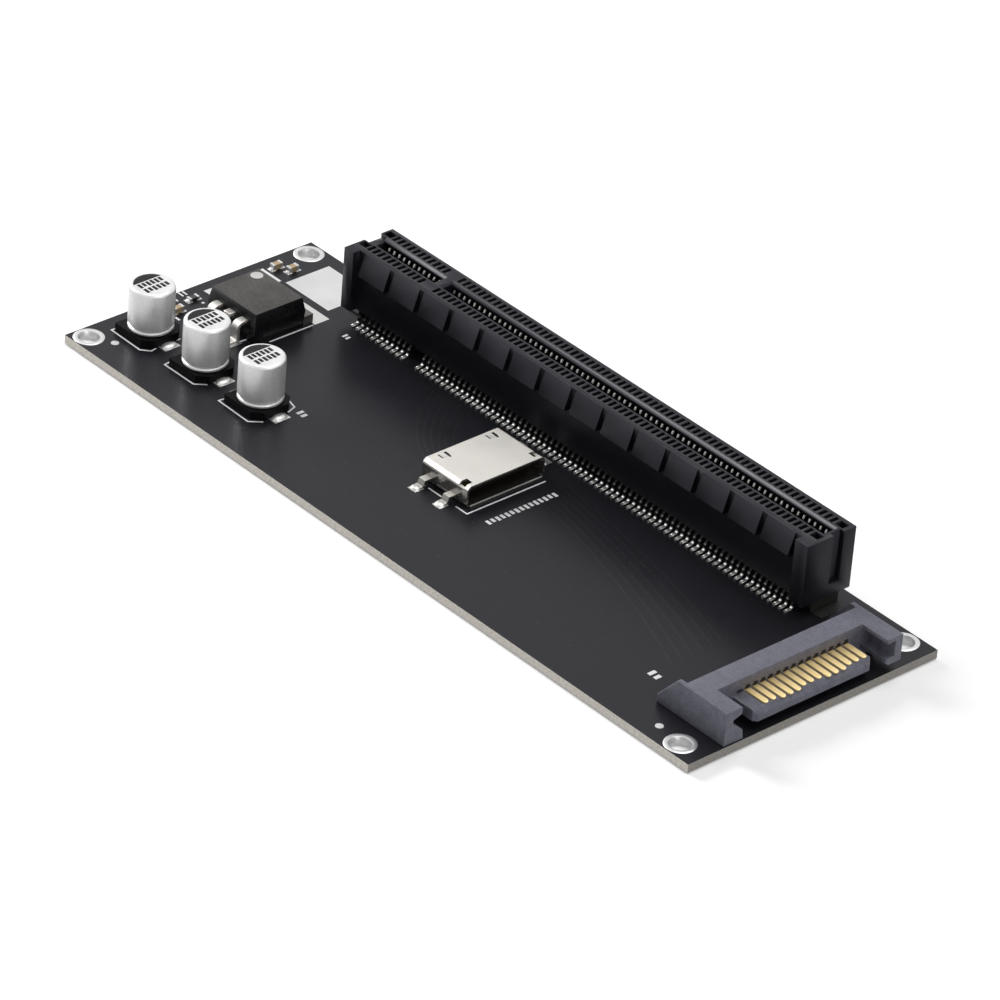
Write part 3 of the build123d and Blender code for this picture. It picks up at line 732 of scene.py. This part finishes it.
def placed(name, item_mesh, places, slot, finish, stands_for=(), turn=0.0, sizes=(1.0, 1.0), seed=1):
    """Puts one small mesh, drawn round the world's origin, at each place and makes one piece of all."""
    item = linked(name + "_item", item_mesh)
    points = bpy.data.meshes.new(name + "_places")
    points.from_pydata(places, [], [])
    carrier = linked(name + "_carrier", points)
    layer = carrier.modifiers.new("items", "NODES")
    layer.node_group = PLACED_ITEMS
    values = {
        "Item": item, "Turn": turn, "Smallest": sizes[0], "Largest": sizes[1],
        "Seed": seed, "Finish": finish,
    }
    for socket in PLACED_ITEMS.interface.items_tree:
        if socket.in_out == "INPUT" and socket.name in values:
            layer[socket.identifier] = values[socket.name]
    graph = bpy.context.evaluated_depsgraph_get()
    mesh = bpy.data.meshes.new_from_object(carrier.evaluated_get(graph), depsgraph=graph)
    mesh.name = name
    carrier.modifiers.remove(layer)
    bpy.data.objects.remove(carrier)
    bpy.data.objects.remove(item)
    return new_piece(name, mesh, slot, finish, stands_for)


# Board: rings and barrels in the mounting holes, print, pads and traces

PRINT_HIGH = 0.025
PAD_HIGH = 0.035
TRACE_HIGH = 0.012
LINE = 0.23
PLATING = 0.05
BORE = HOLE_RADIUS - PLATING
BARREL_FOOT = 0.005 - BOARD_THICKNESS
# Profile of a plated eyelet, as radius and height: its barrel and its ring with a raised inner edge
EYELET_PROFILE = (
    (BORE, BARREL_FOOT), (HOLE_RADIUS, BARREL_FOOT), (HOLE_RADIUS, 0.0), (RING_RADIUS, 0.0),
    (RING_RADIUS - 0.05, 0.04), (HOLE_RADIUS + 0.12, 0.05), (HOLE_RADIUS, 0.03), (BORE, -0.05),
)
CHIPS = ("chip_capacitor_1", "chip_capacitor_2", "chip_capacitor_3", "chip_resistor")
LONG_LEADS = ("regulator_lead_1", "regulator_lead_3")


def make_hole_rings():
    """A plated eyelet in each mounting hole: a ring on the top face and a barrel to the underside."""
    shape = bmesh.new()
    for x, y in HOLE_PLACES:
        add_turned(shape, x, y, EYELET_PROFILE, steps=56)
    close_piece("hole_rings", shape, "tin", MATERIALS["tin"], 40)


# Printed outlines, as runs of places
PRINT_LINES = (
    ((2.55, 6.81), (2.52, 5.75), (8.55, 5.67), (9.63, 6.72), (9.47, 7.67)),
    ((9.42, 11.12), (9.43, 11.81)),
    ((13.1, 7.3), (13.26, 6.03), (19.15, 6.05), (20.3, 7.45)),
    ((24.27, 7.49), (24.17, 6.16), (30.25, 6.01), (31.47, 7.56)),
    ((31.5, 11.7), (31.0, 13.2), (29.4, 13.6)),
    ((16.7, 20.9), (16.7, 28.3)),
    ((13.63, 17.11), (14.41, 17.2), (14.5, 19.0)),
    ((63.1, 28.0), (63.1, 14.7), (60.9, 14.7)),
    ((58.2, 14.7), (55.7, 14.7)),
)
# Printed bars, as their two corners
PRINT_BARS = (
    ((1.65, 31.6), (5.56, 32.15)),
    ((0.1, 18.8), (1.2, 19.05)),
    ((0.1, 19.45), (1.2, 19.7)),
    ((1.2, 17.4), (1.8, 17.65)),
    ((2.7, 16.65), (3.3, 16.9)),
    ((4.8, 14.5), (5.7, 14.8)),
    ((3.8, 19.8), (4.2, 20.2)),
)
PRINT_TRIANGLE = ((1.65, 22.0), (3.28, 22.06), (1.71, 23.6))
# Rows of small printed blocks: corner, direction, count, and block length, height, gap
PRINT_ROWS = (
    (65.7, 15.4, "y", 15, (0.46, 0.95, 0.34)),
    (32.2, 12.4, "x", 2, (0.5, 1.1, 0.35)),
    (21.0, 29.6, "x", 2, (0.35, 0.9, 0.3)),
    (102.8, 9.1, "x", 2, (0.6, 1.2, 0.45)),
)
BLOCK_HEIGHTS = (1.0, 0.86, 1.0, 0.93)


def small_marks(shape, x, y, along, count, size, low, high):
    """A run of small plain printed blocks, laid along X or Y."""
    width, height, gap = size
    for index in range(count):
        offset = index * (width + gap)
        reach = height * BLOCK_HEIGHTS[index % len(BLOCK_HEIGHTS)]
        if along == "x":
            add_block(shape, (x + offset, y, low), (x + offset + width, y + reach, high))
        else:
            add_block(shape, (x, y + offset, low), (x + reach, y + offset + width, high))


def make_board_print():
    shape = bmesh.new()
    for run in PRINT_LINES:
        add_stroke(shape, run, LINE, 0.0, PRINT_HIGH)
    for low, high in PRINT_BARS:
        add_block(shape, (*low, 0.0), (*high, PRINT_HIGH))
    add_plate(shape, PRINT_TRIANGLE, 0.0, PRINT_HIGH)
    for x, y, along, count, size in PRINT_ROWS:
        small_marks(shape, x, y, along, count, size, 0.0, PRINT_HIGH)
    close_piece("board_print", shape, "board_mask", PRINT_WHITE)


DOT_PLACES = ((5.36, 4.08), (112.0, 2.7))
DOT_RADIUS = 0.55
# How far each pad reaches past the metal that is soldered to it, under it, and to the sides
LEAD_PAD = {"out": 0.75, "under": 1.0, "half_width": 1.3}
CHIP_PAD = {"out": 0.35, "under": 0.5, "side": 0.12}
REGULATOR_PAD = {"out": 0.6, "under": 2.2, "side": 0.3}
SHELL_PAD = {"near": 0.6, "far": 0.9, "half_width": 0.75}
SHELL_LEGS_X = (54.8, 59.5)
SHELL_PADS_Y = (13.2, 30.8)


def add_pad(shape, x_ends, y_ends):
    """A bare pad between two ends along X and two along Y."""
    (left, right), (near, far) = sorted(x_ends), sorted(y_ends)
    add_block(shape, (left, near, 0.0), (right, far, PAD_HIGH))


def make_bare_copper():
    """Alignment dots and the pads under the chips, the capacitors, the regulator and the shell."""
    shape = bmesh.new()
    for x, y in DOT_PLACES:
        add_disc(shape, x, y, DOT_RADIUS, 0.0, PAD_HIGH)
    for number in (1, 2, 3):
        low, high = board_box(f"capacitor_{number}_leads")
        middle = (low.y + high.y) / 2
        sides = (middle - LEAD_PAD["half_width"], middle + LEAD_PAD["half_width"])
        for x, way in ((low.x, -1), (high.x, 1)):
            add_pad(shape, (x + way * LEAD_PAD["out"], x - way * LEAD_PAD["under"]), sides)
    for chip in CHIPS:
        low, high = board_box(chip + "_ends")
        sides = (low.x - CHIP_PAD["side"], high.x + CHIP_PAD["side"])
        for y, way in ((low.y, -1), (high.y, 1)):
            add_pad(shape, sides, (y + way * CHIP_PAD["out"], y - way * CHIP_PAD["under"]))
    for lead in LONG_LEADS:
        low, high = board_box(lead)
        sides = (low.x - REGULATOR_PAD["side"], high.x + REGULATOR_PAD["side"])
        add_pad(shape, sides, (low.y - REGULATOR_PAD["out"], low.y + REGULATOR_PAD["under"]))
    for x in SHELL_LEGS_X:
        sides = (x - SHELL_PAD["half_width"], x + SHELL_PAD["half_width"])
        for y in SHELL_PADS_Y:
            add_pad(shape, sides, (y - SHELL_PAD["near"], y + SHELL_PAD["far"]))
    close_piece("bare_copper", shape, "tin", MATERIALS["tin"])


# Bundles of traces: start, bend and end of the first trace, then the step of each to the next trace
TRACE_BUNDLES = (
    (((52.6, 18.5), (0.0, 0.8)), ((44.0, 19.5), (0.9, 0.8)), ((38.0, 31.2), (1.2, 0.0))),
    (((65.0, 29.6), (0.0, -1.0)), ((84.0, 27.6), (0.0, -1.2)), ((103.0, 21.5), (0.0, -1.7))),
)
TRACES_IN_BUNDLE = 6
TRACE_WIDTH = 0.2
TRACE_STEPS = 12
# A via's rings, from its foot to its dimple, as radius and height
VIA_RINGS = ((0.22, 0.0), (0.2, 0.008), (0.1, 0.008), (0.08, 0.002))
VIA_SIDES = 10
FIRST_TRACE_VIA = (37.2, 30.4)
TRACE_VIA_STEP = 1.2
FIRST_FIELD_VIA = (44.0, 5.5)
FIELD_VIA_COLUMNS = 9
FIELD_VIA_ROWS = 3
FIELD_VIA_STEP = (6.1, 4.3)
FIELD_VIA_SHIFT = 1.3


def make_traces():
    """Fine traces under the mask that sweep from the receptacle to the slot and the plug, and vias."""
    shape = bmesh.new()
    via_places = []
    for rank in range(TRACES_IN_BUNDLE):
        for bundle in TRACE_BUNDLES:
            start, bend, end = [Vector(first) + rank * Vector(step) for first, step in bundle]
            points = []
            for step in range(TRACE_STEPS + 1):
                share = step / TRACE_STEPS
                points.append(start.lerp(bend, share).lerp(bend.lerp(end, share), share))
            add_stroke(shape, points, TRACE_WIDTH, 0.0, TRACE_HIGH)
        via_places.append(on_board(FIRST_TRACE_VIA[0] + TRACE_VIA_STEP * rank, FIRST_TRACE_VIA[1]))
    close_piece("mask_traces", shape, "board_mask", COPPER_UNDER_MASK)
    via = bmesh.new()
    add_rings(via, [
        [Vector((radius * across, radius * along, height)) * MM for across, along in circle(VIA_SIDES)]
        for radius, height in VIA_RINGS
    ])
    for column in range(FIELD_VIA_COLUMNS):
        for row in range(FIELD_VIA_ROWS):
            x = FIRST_FIELD_VIA[0] + column * FIELD_VIA_STEP[0] + row * FIELD_VIA_SHIFT
            via_places.append(on_board(x, FIRST_FIELD_VIA[1] + row * FIELD_VIA_STEP[1]))
    placed(
        "mask_vias", close_mesh(via, "via", 30), via_places, "board_mask", COPPER_UNDER_MASK,
        sizes=(0.85, 1.1), seed=4,
    )


# Card slot: contacts, solder and edges

SLOT_LOW = board_box("slot_housing")[0]
SLOT_AXIS = 37.15
FIRST_PIN = SLOT_LOW.x + 2.3
PIN_PITCH = 1.0
PINS_BEFORE_KEY = 11
PINS_AFTER_KEY = 71
KEY_STEP = 3.0
PIN_PLACES = [FIRST_PIN + pin * PIN_PITCH for pin in range(PINS_BEFORE_KEY)]
PIN_PLACES += [PIN_PLACES[-1] + KEY_STEP + pin * PIN_PITCH for pin in range(PINS_AFTER_KEY)]
# Each row's side, the reach of its toes from the slot's axis, and its turn
PIN_ROWS = (("near", 4.9, 0.0), ("far", 4.45, math.pi))
# A contact's centre line past its toe, as distance from the axis and height: foot, riser, beam, tip
CONTACT_PATH = (
    (-3.95, 0.1), (-3.72, 0.18), (-3.6, 0.42), (-3.54, 0.85), (-3.4, 1.1), (-3.12, 1.4),
    (-2.94, 2.05), (-2.42, 4.0), (-1.2, 8.85), (-0.92, 9.42), (-0.93, 9.58), (-1.06, 9.8),
    (-1.2, 9.95),
)
CONTACT_WIDTHS = [0.32] * 2 + [0.36] * 7 + [0.3, 0.22, 0.22, 0.22, 0.22]
CONTACT_THICKNESS = 0.2
# Rings of the solder on a foot: half width, start short of the toe, end, and height
FOOT_SOLDER_RINGS = (
    (0.2, 0.0, 3.95, 0.0), (0.2, 0.0, 3.95, 0.03),
    (0.17, 0.12, 3.99, 0.15), (0.11, 0.2, 4.02, 0.25), (0.05, 0.28, 4.06, 0.29),
)
SOLDER_CORNER = 0.45
SOLDER_SIZES = (0.97, 1.0)
SOLDER_SEED = 7


def slot_contact_mesh(toe):
    """One spring contact, drawn outwards along -Y from the slot's axis: foot, riser and beam."""
    shape = bmesh.new()

    def place(across, run, height):
        return Vector((across, run, height)) * MM

    path = [(-toe, CONTACT_PATH[0][1]), *CONTACT_PATH]
    add_strip(shape, path, CONTACT_THICKNESS, CONTACT_WIDTHS, place)
    return close_mesh(shape, "slot_contact", 50)


def tail_solder_mesh(toe):
    """The pad and the solder round one foot."""
    shape = bmesh.new()
    rings = []
    for half_width, short, end, height in FOOT_SOLDER_RINGS:
        start = toe - short
        corner = half_width * SOLDER_CORNER
        rings.append([
            Vector(point) * MM for point in (
                (-half_width, -start + corner, height), (-half_width + corner, -start, height),
                (half_width - corner, -start, height), (half_width, -start + corner, height),
                (half_width, -end, height), (-half_width, -end, height),
            )
        ])
    add_rings(shape, rings)
    return close_mesh(shape, "tail_solder", 50)


def make_slot():
    places = [on_board(x, SLOT_AXIS) for x in PIN_PLACES]
    for side, toe, turn in PIN_ROWS:
        node = "slot_contacts_" + side
        placed(
            node + "_formed", slot_contact_mesh(toe), places, NODE_SLOTS[node],
            MATERIALS["slot_contact_metal"], (node,), turn,
        )
        placed(
            f"slot_{side}_solder", tail_solder_mesh(toe), places, "tin", SOLDER, (), turn,
            SOLDER_SIZES, SOLDER_SEED,
        )
    softened("slot_housing", 0.05, segments=1, angle=40)


# Cable receptacle

SHELL_SOLDER_Y = (13.3, 30.75)
# The narrow and the wide opening of each latch, across the shell
LATCHES = ((17.5, 18.65), (25.55, 26.7))
# Outlines of the openings, as places along the shell and steps from the middle of the opening
NARROW_OPENING = ((54.0, -0.11), (54.7, -0.06), (54.7, 0.06), (54.0, 0.11))
WIDE_OPENING = ((53.95, -0.2), (55.25, -0.24), (55.3, 0.02), (54.6, 0.2), (53.95, 0.2))
OPENING_DEPTH = 0.1
OPENING_HIGH = 0.008
TAB_HIGH = 0.03
TAB_ENDS = (54.0, 54.95)
TAB_GAPS = (0.16, 0.28)
# The dark floor just inside the mouth, a black plate of painted shade: steps back from the shell's
# edges, and heights
MOUTH_ENDS = (1.2, 0.25)
MOUTH_SIDE = 2.6
MOUTH_HEIGHTS = (0.25, 0.34)


def make_receptacle():
    """Solder at the shell's legs, black plates of painted shade in the latch openings, their tabs, and
    the mouth floor dark with painted shade.
    """
    shape = bmesh.new()
    for x in SHELL_LEGS_X:
        for y in SHELL_SOLDER_Y:
            add_mound(shape, x, y, *SHELL_MOUND)
    close_piece("shell_solder", shape, "tin", SOLDER, 60)
    low, high = board_box("receptacle_shell")
    deep = high.z - OPENING_DEPTH
    # Painted shade: black plates sunk in the latch openings and laid on the mouth's floor
    shape = bmesh.new()
    for middles in LATCHES:
        for middle, opening in zip(middles, (NARROW_OPENING, WIDE_OPENING)):
            outline = [(x, middle + step) for x, step in opening]
            add_plate(shape, outline, deep, high.z + OPENING_HIGH)
    add_block(
        shape,
        (high.x - MOUTH_ENDS[0], low.y + MOUTH_SIDE, MOUTH_HEIGHTS[0]),
        (high.x - MOUTH_ENDS[1], high.y - MOUTH_SIDE, MOUTH_HEIGHTS[1]),
    )
    close_piece("latch_windows", shape, "insulator_plastic", PRINT_AND_SHADE_BLACK)
    shape = bmesh.new()
    for narrow, wide in LATCHES:
        add_block(
            shape,
            (TAB_ENDS[0], narrow + TAB_GAPS[0], deep),
            (TAB_ENDS[1], wide - TAB_GAPS[1], high.z + TAB_HIGH),
        )
    close_piece("latch_tabs", shape, "shell_metal", SOLDER)


# Power plug

BLADE_TOP = 2.7
PLUG_CONTACT_THICKNESS = 0.25
FIRST_POSITION = 2
LAST_POSITION = 15
# Along a contact from its start: its trimmed end and the middles of its two bends, and their radii
TAIL_TRIM = 0.05
LOW_BEND_AT = 1.0
HIGH_BEND_AT = 1.775
LOW_BEND = 0.375
HIGH_BEND = 0.4
# Ends of the tip's three narrowing steps, back from the contact's end, and their shares of the width
TIP_STEPS = (0.42, 0.24, 0.1, 0.02)
TIP_DROPS = (0.0, 0.0, 0.02, 0.07)
TIP_SHARES = (0.93, 0.7, 0.36)
# The wall behind the blade, from the plug's outer end, and a black plate of painted shade at the root of
# each contact in it
REAR_WALL = 4.49
ROOT_DEPTH = 0.2
ROOT_OUT = 0.012
ROOT_HALF_WIDTH = 0.34
ROOT_TOP = 0.85


def make_plug():
    high = board_box("power_plug_housing")[1]
    softened("power_plug_housing", 0.14, segments=2, angle=35)
    centre = BLADE_TOP + PLUG_CONTACT_THICKNESS / 2
    foot = PLUG_CONTACT_THICKNESS / 2
    middles = []
    for position in range(FIRST_POSITION, LAST_POSITION + 1):
        node = f"power_contact_{position:02d}"
        start, end = board_box(node)
        middle = (start.y + end.y) / 2
        width = end.y - start.y
        bend = start.x + LOW_BEND_AT
        path = [(start.x + TAIL_TRIM, foot), (bend, foot)]
        path += arc((bend, foot + LOW_BEND), LOW_BEND, -90, 0, 3)[1:]
        path += arc((start.x + HIGH_BEND_AT, centre - HIGH_BEND), HIGH_BEND, 180, 90, 4)
        path += [(end.x - back, centre - drop) for back, drop in zip(TIP_STEPS, TIP_DROPS)]
        widths = [width] * (len(path) - len(TIP_SHARES)) + [width * share for share in TIP_SHARES]

        def place(across, run, height, y=middle):
            return on_board(run, y + across, height)

        finish = MATERIALS["contact_gold"]
        formed_strip(node, path, PLUG_CONTACT_THICKNESS, widths, place, finish, edge=0.05)
        middles.append(middle)
    # Painted shade: a thin black plate on the wall round each contact's root
    shape = bmesh.new()
    wall = high.x - REAR_WALL
    for middle in middles:
        add_block(
            shape,
            (wall - ROOT_DEPTH, middle - ROOT_HALF_WIDTH, BLADE_TOP + PLUG_CONTACT_THICKNESS),
            (wall + ROOT_OUT, middle + ROOT_HALF_WIDTH, BLADE_TOP + ROOT_TOP),
        )
    close_piece("contact_roots", shape, "plug_plastic", PRINT_AND_SHADE_BLACK)


# Round capacitors

RIM = 0.33
GROOVE_DEPTH = 0.36
GROOVE_HEIGHTS = (0.7, 0.82)
WALL_FOOT = (0.2, 1.05)
ROOF_EDGE = 0.45
ROOF_DROP = 0.02
ROOF_INSET = 0.62
# The dark segment on the roof: its distance from the rim and its chord's from the middle
SEGMENT_INSET = 0.55
SEGMENT_CHORD = 1.15
SEGMENT_STEPS = 16
ROOF_PRINT_HEIGHTS = (-0.021, -0.008)
ROOF_PRINT_ROWS = (-0.95, 0.4)
ROOF_PRINT_START = -1.95
ROOF_BLOCK = (0.46, 1.05, 0.22)
ROOF_BLOCKS = 6


def can_profile(radius, foot, roof):
    """A drawn can: a rolled rim, a groove above it, and a wall that rounds into the roof."""
    profile = [(0.0, foot)]
    profile += arc((radius - RIM, foot + RIM), RIM, -90, 60, 7)
    profile += [(radius - GROOVE_DEPTH, foot + height) for height in GROOVE_HEIGHTS]
    profile += arc((radius - WALL_FOOT[0], foot + WALL_FOOT[1]), WALL_FOOT[0], -60, 0, 4)
    profile += arc((radius - ROOF_EDGE, roof - ROOF_EDGE), ROOF_EDGE, 0, 90, 6)
    profile += [(radius - ROOF_INSET, roof - ROOF_DROP), (0.0, roof - ROOF_DROP)]
    return profile


def make_capacitors():
    print_shape = bmesh.new()
    solder_shape = bmesh.new()
    for number in (1, 2, 3):
        node = f"capacitor_{number}_can"
        low, high = board_box(node)
        x = (low.x + high.x) / 2
        y = (low.y + high.y) / 2
        radius = (high.x - low.x) / 2
        shape = bmesh.new()
        add_turned(shape, x, y, can_profile(radius, low.z, high.z))
        finish = MATERIALS["can_metal"]
        close_piece(node + "_drawn", shape, NODE_SLOTS[node], finish, 50, (node,))
        print_low, print_high = [high.z + step for step in ROOF_PRINT_HEIGHTS]
        reach = radius - SEGMENT_INSET
        half_turn = math.degrees(math.acos(SEGMENT_CHORD / reach))
        segment = arc((x, y), reach, 180 - half_turn, 180 + half_turn, SEGMENT_STEPS)
        add_plate(print_shape, segment, print_low, print_high)
        for row in ROOF_PRINT_ROWS:
            small_marks(
                print_shape, x + row, y + ROOF_PRINT_START, "y", ROOF_BLOCKS, ROOF_BLOCK,
                print_low, print_high,
            )
        leads_low, leads_high = board_box(f"capacitor_{number}_leads")
        middle = (leads_low.y + leads_high.y) / 2
        for lead_x, way in ((leads_low.x, -1), (leads_high.x, 1)):
            add_mound(solder_shape, lead_x - way * MOUND_TUCK, middle, *CAN_MOUND, PAD_HIGH)
    close_piece("can_print", print_shape, "can_metal", PRINT_AND_SHADE_BLACK)
    close_piece("capacitor_solder", solder_shape, "tin", SOLDER, 60)


# Voltage regulator and chips

LEAD_THICKNESS = 0.5
LEAD_HEIGHT = 2.8
SHORT_LEAD = 2
# How far out the long leads turn down, from the body's near edge
LEAD_FACE = -1.625
SHOULDER_BEND = 0.75
ANKLE_BEND = 0.5
TOE_TRIM = 0.02
# The cut end of the short lead: its length and its share of the width
CUT_LENGTH = 0.12
CUT_SHARE = 0.86
# The dimple's place from the body's left and far edges, and its profile from the roof
DIMPLE_PLACE = (1.55, 1.7)
DIMPLE_PROFILE = (
    (0.0, -0.05), (0.78, -0.05), (0.86, 0.012), (0.8, 0.02), (0.7, 0.008), (0.4, 0.002), (0.0, 0.0),
)


def make_regulator():
    softened("regulator_body", 0.1, segments=2, angle=10)
    low, high = board_box("regulator_body")
    for number in (1, 2, 3):
        node = f"regulator_lead_{number}"
        start, end = board_box(node)
        middle = (start.x + end.x) / 2
        width = end.x - start.x
        widths = width
        path = [(end.y, LEAD_HEIGHT)]
        if number == SHORT_LEAD:
            path += [(start.y + CUT_LENGTH, LEAD_HEIGHT), (start.y, LEAD_HEIGHT)]
            widths = [width, width, width * CUT_SHARE]
        else:
            face = low.y + LEAD_FACE + LEAD_THICKNESS / 2
            foot = LEAD_THICKNESS / 2
            path += arc((face + SHOULDER_BEND, LEAD_HEIGHT - SHOULDER_BEND), SHOULDER_BEND, 90, 180, 6)
            path += arc((face - ANKLE_BEND, foot + ANKLE_BEND), ANKLE_BEND, 0, -90, 4)
            path.append((start.y + TOE_TRIM, foot))

        def place(across, run, height, x=middle):
            return on_board(x + across, run, height)

        formed_strip(node, path, LEAD_THICKNESS, widths, place, LEAD_METAL, edge=0.07)
    shape = bmesh.new()
    profile = [(radius, high.z + step) for radius, step in DIMPLE_PROFILE]
    add_turned(shape, low.x + DIMPLE_PLACE[0], high.y - DIMPLE_PLACE[1], profile, steps=40)
    close_piece("regulator_dimple", shape, "regulator_plastic", DIMPLE_PAINTED_SHEEN, 30)
    shape = bmesh.new()
    for lead in LONG_LEADS:
        start, end = board_box(lead)
        middle = (start.x + end.x) / 2
        add_mound(shape, middle, start.y + MOUND_TUCK, *REGULATOR_MOUND, PAD_HIGH)
    close_piece("regulator_solder", shape, "tin", SOLDER, 60)


def make_chip_solder():
    shape = bmesh.new()
    for chip in CHIPS:
        low, high = board_box(chip + "_ends")
        middle = (low.x + high.x) / 2
        for y in (low.y, high.y):
            add_mound(shape, middle, y, *CHIP_MOUND, PAD_HIGH, steps=8)
    close_piece("chip_solder", shape, "tin", SOLDER, 60)


# Stage: a floor, soft round lamps and a surround, in metres and watts

FLOOR_REACH = 6.0
FLOOR_DROP = 0.0002
FLOOR_COLOR = (0.97, 0.97, 0.97, 1)
WHITE = (1, 1, 1, 1)
# What the floor adds for the camera alone, so that the page behind the object is white
CAMERA_LIFT = 0.22
# Name, place, diameter and power; every lamp looks at the origin
LAMPS = (
    ("left_lamp", (-1.0, -0.15, 0.5), 0.6, 11.5),
    ("right_lamp", (0.95, -0.15, 0.45), 0.6, 1.8),
    ("back_lamp", (0.1, 0.3, 1.15), 0.9, 6.5),
)
FILL_LIGHT = 0.15
SEEN_LIGHT = 1.0


def floor_material():
    """A pale surface that the camera sees as white, and that still takes the object's shadow."""
    material = bpy.data.materials.new("pale_floor")
    material.use_nodes = True
    tree, shader = opened(material)
    set_inputs(shader, {
        "Base Color": FLOOR_COLOR, "Roughness": 0.9, "Specular IOR Level": 0.1, "Emission Color": WHITE,
    })
    path = tree.nodes.new("ShaderNodeLightPath")
    lift = math_node(tree, "MULTIPLY", path.outputs["Is Camera Ray"], CAMERA_LIFT)
    tree.links.new(lift, shader.inputs["Emission Strength"])
    return material


def make_floor():
    mesh = bpy.data.meshes.new("floor")
    reach = FLOOR_REACH
    corners = [(-reach, -reach, 0), (reach, -reach, 0), (reach, reach, 0), (-reach, reach, 0)]
    mesh.from_pydata(corners, [], [(0, 1, 2, 3)])
    mesh.materials.append(floor_material())
    floor = linked("floor", mesh)
    floor.location.z = -FLOOR_DROP


def make_lamps():
    for name, place, size, power in LAMPS:
        data = bpy.data.lights.new(name, "AREA")
        data.shape = "DISK"
        data.size = size
        data.energy = power
        lamp = linked(name, data)
        lamp.location = place
        lamp.rotation_euler = (-Vector(place)).to_track_quat("-Z", "Y").to_euler()


def make_surround():
    """White where it is seen straight or mirrored, and a faint fill light for all else."""
    world = bpy.data.worlds.new("surround")
    bpy.context.scene.world = world
    world.use_nodes = True
    tree = world.node_tree
    plain = tree.nodes["Background"]
    set_inputs(plain, {"Color": WHITE, "Strength": FILL_LIGHT})
    seen = tree.nodes.new("ShaderNodeBackground")
    set_inputs(seen, {"Color": WHITE, "Strength": SEEN_LIGHT})
    path = tree.nodes.new("ShaderNodeLightPath")
    mix = tree.nodes.new("ShaderNodeMixShader")
    rays = math_node(tree, "MAXIMUM", path.outputs["Is Camera Ray"], path.outputs["Is Glossy Ray"])
    rays = math_node(tree, "MAXIMUM", rays, path.outputs["Is Transmission Ray"])
    tree.links.new(rays, mix.inputs["Fac"])
    tree.links.new(plain.outputs[0], mix.inputs[1])
    tree.links.new(seen.outputs[0], mix.inputs[2])
    tree.links.new(mix.outputs[0], tree.nodes["World Output"].inputs["Surface"])
    bpy.context.scene.view_settings.view_transform = "Standard"


make_camera()
make_floor()
make_lamps()
make_surround()
make_hole_rings()
make_board_print()
make_bare_copper()
make_traces()
make_slot()
make_receptacle()
make_plug()
make_capacitors()
make_regulator()
make_chip_solder()
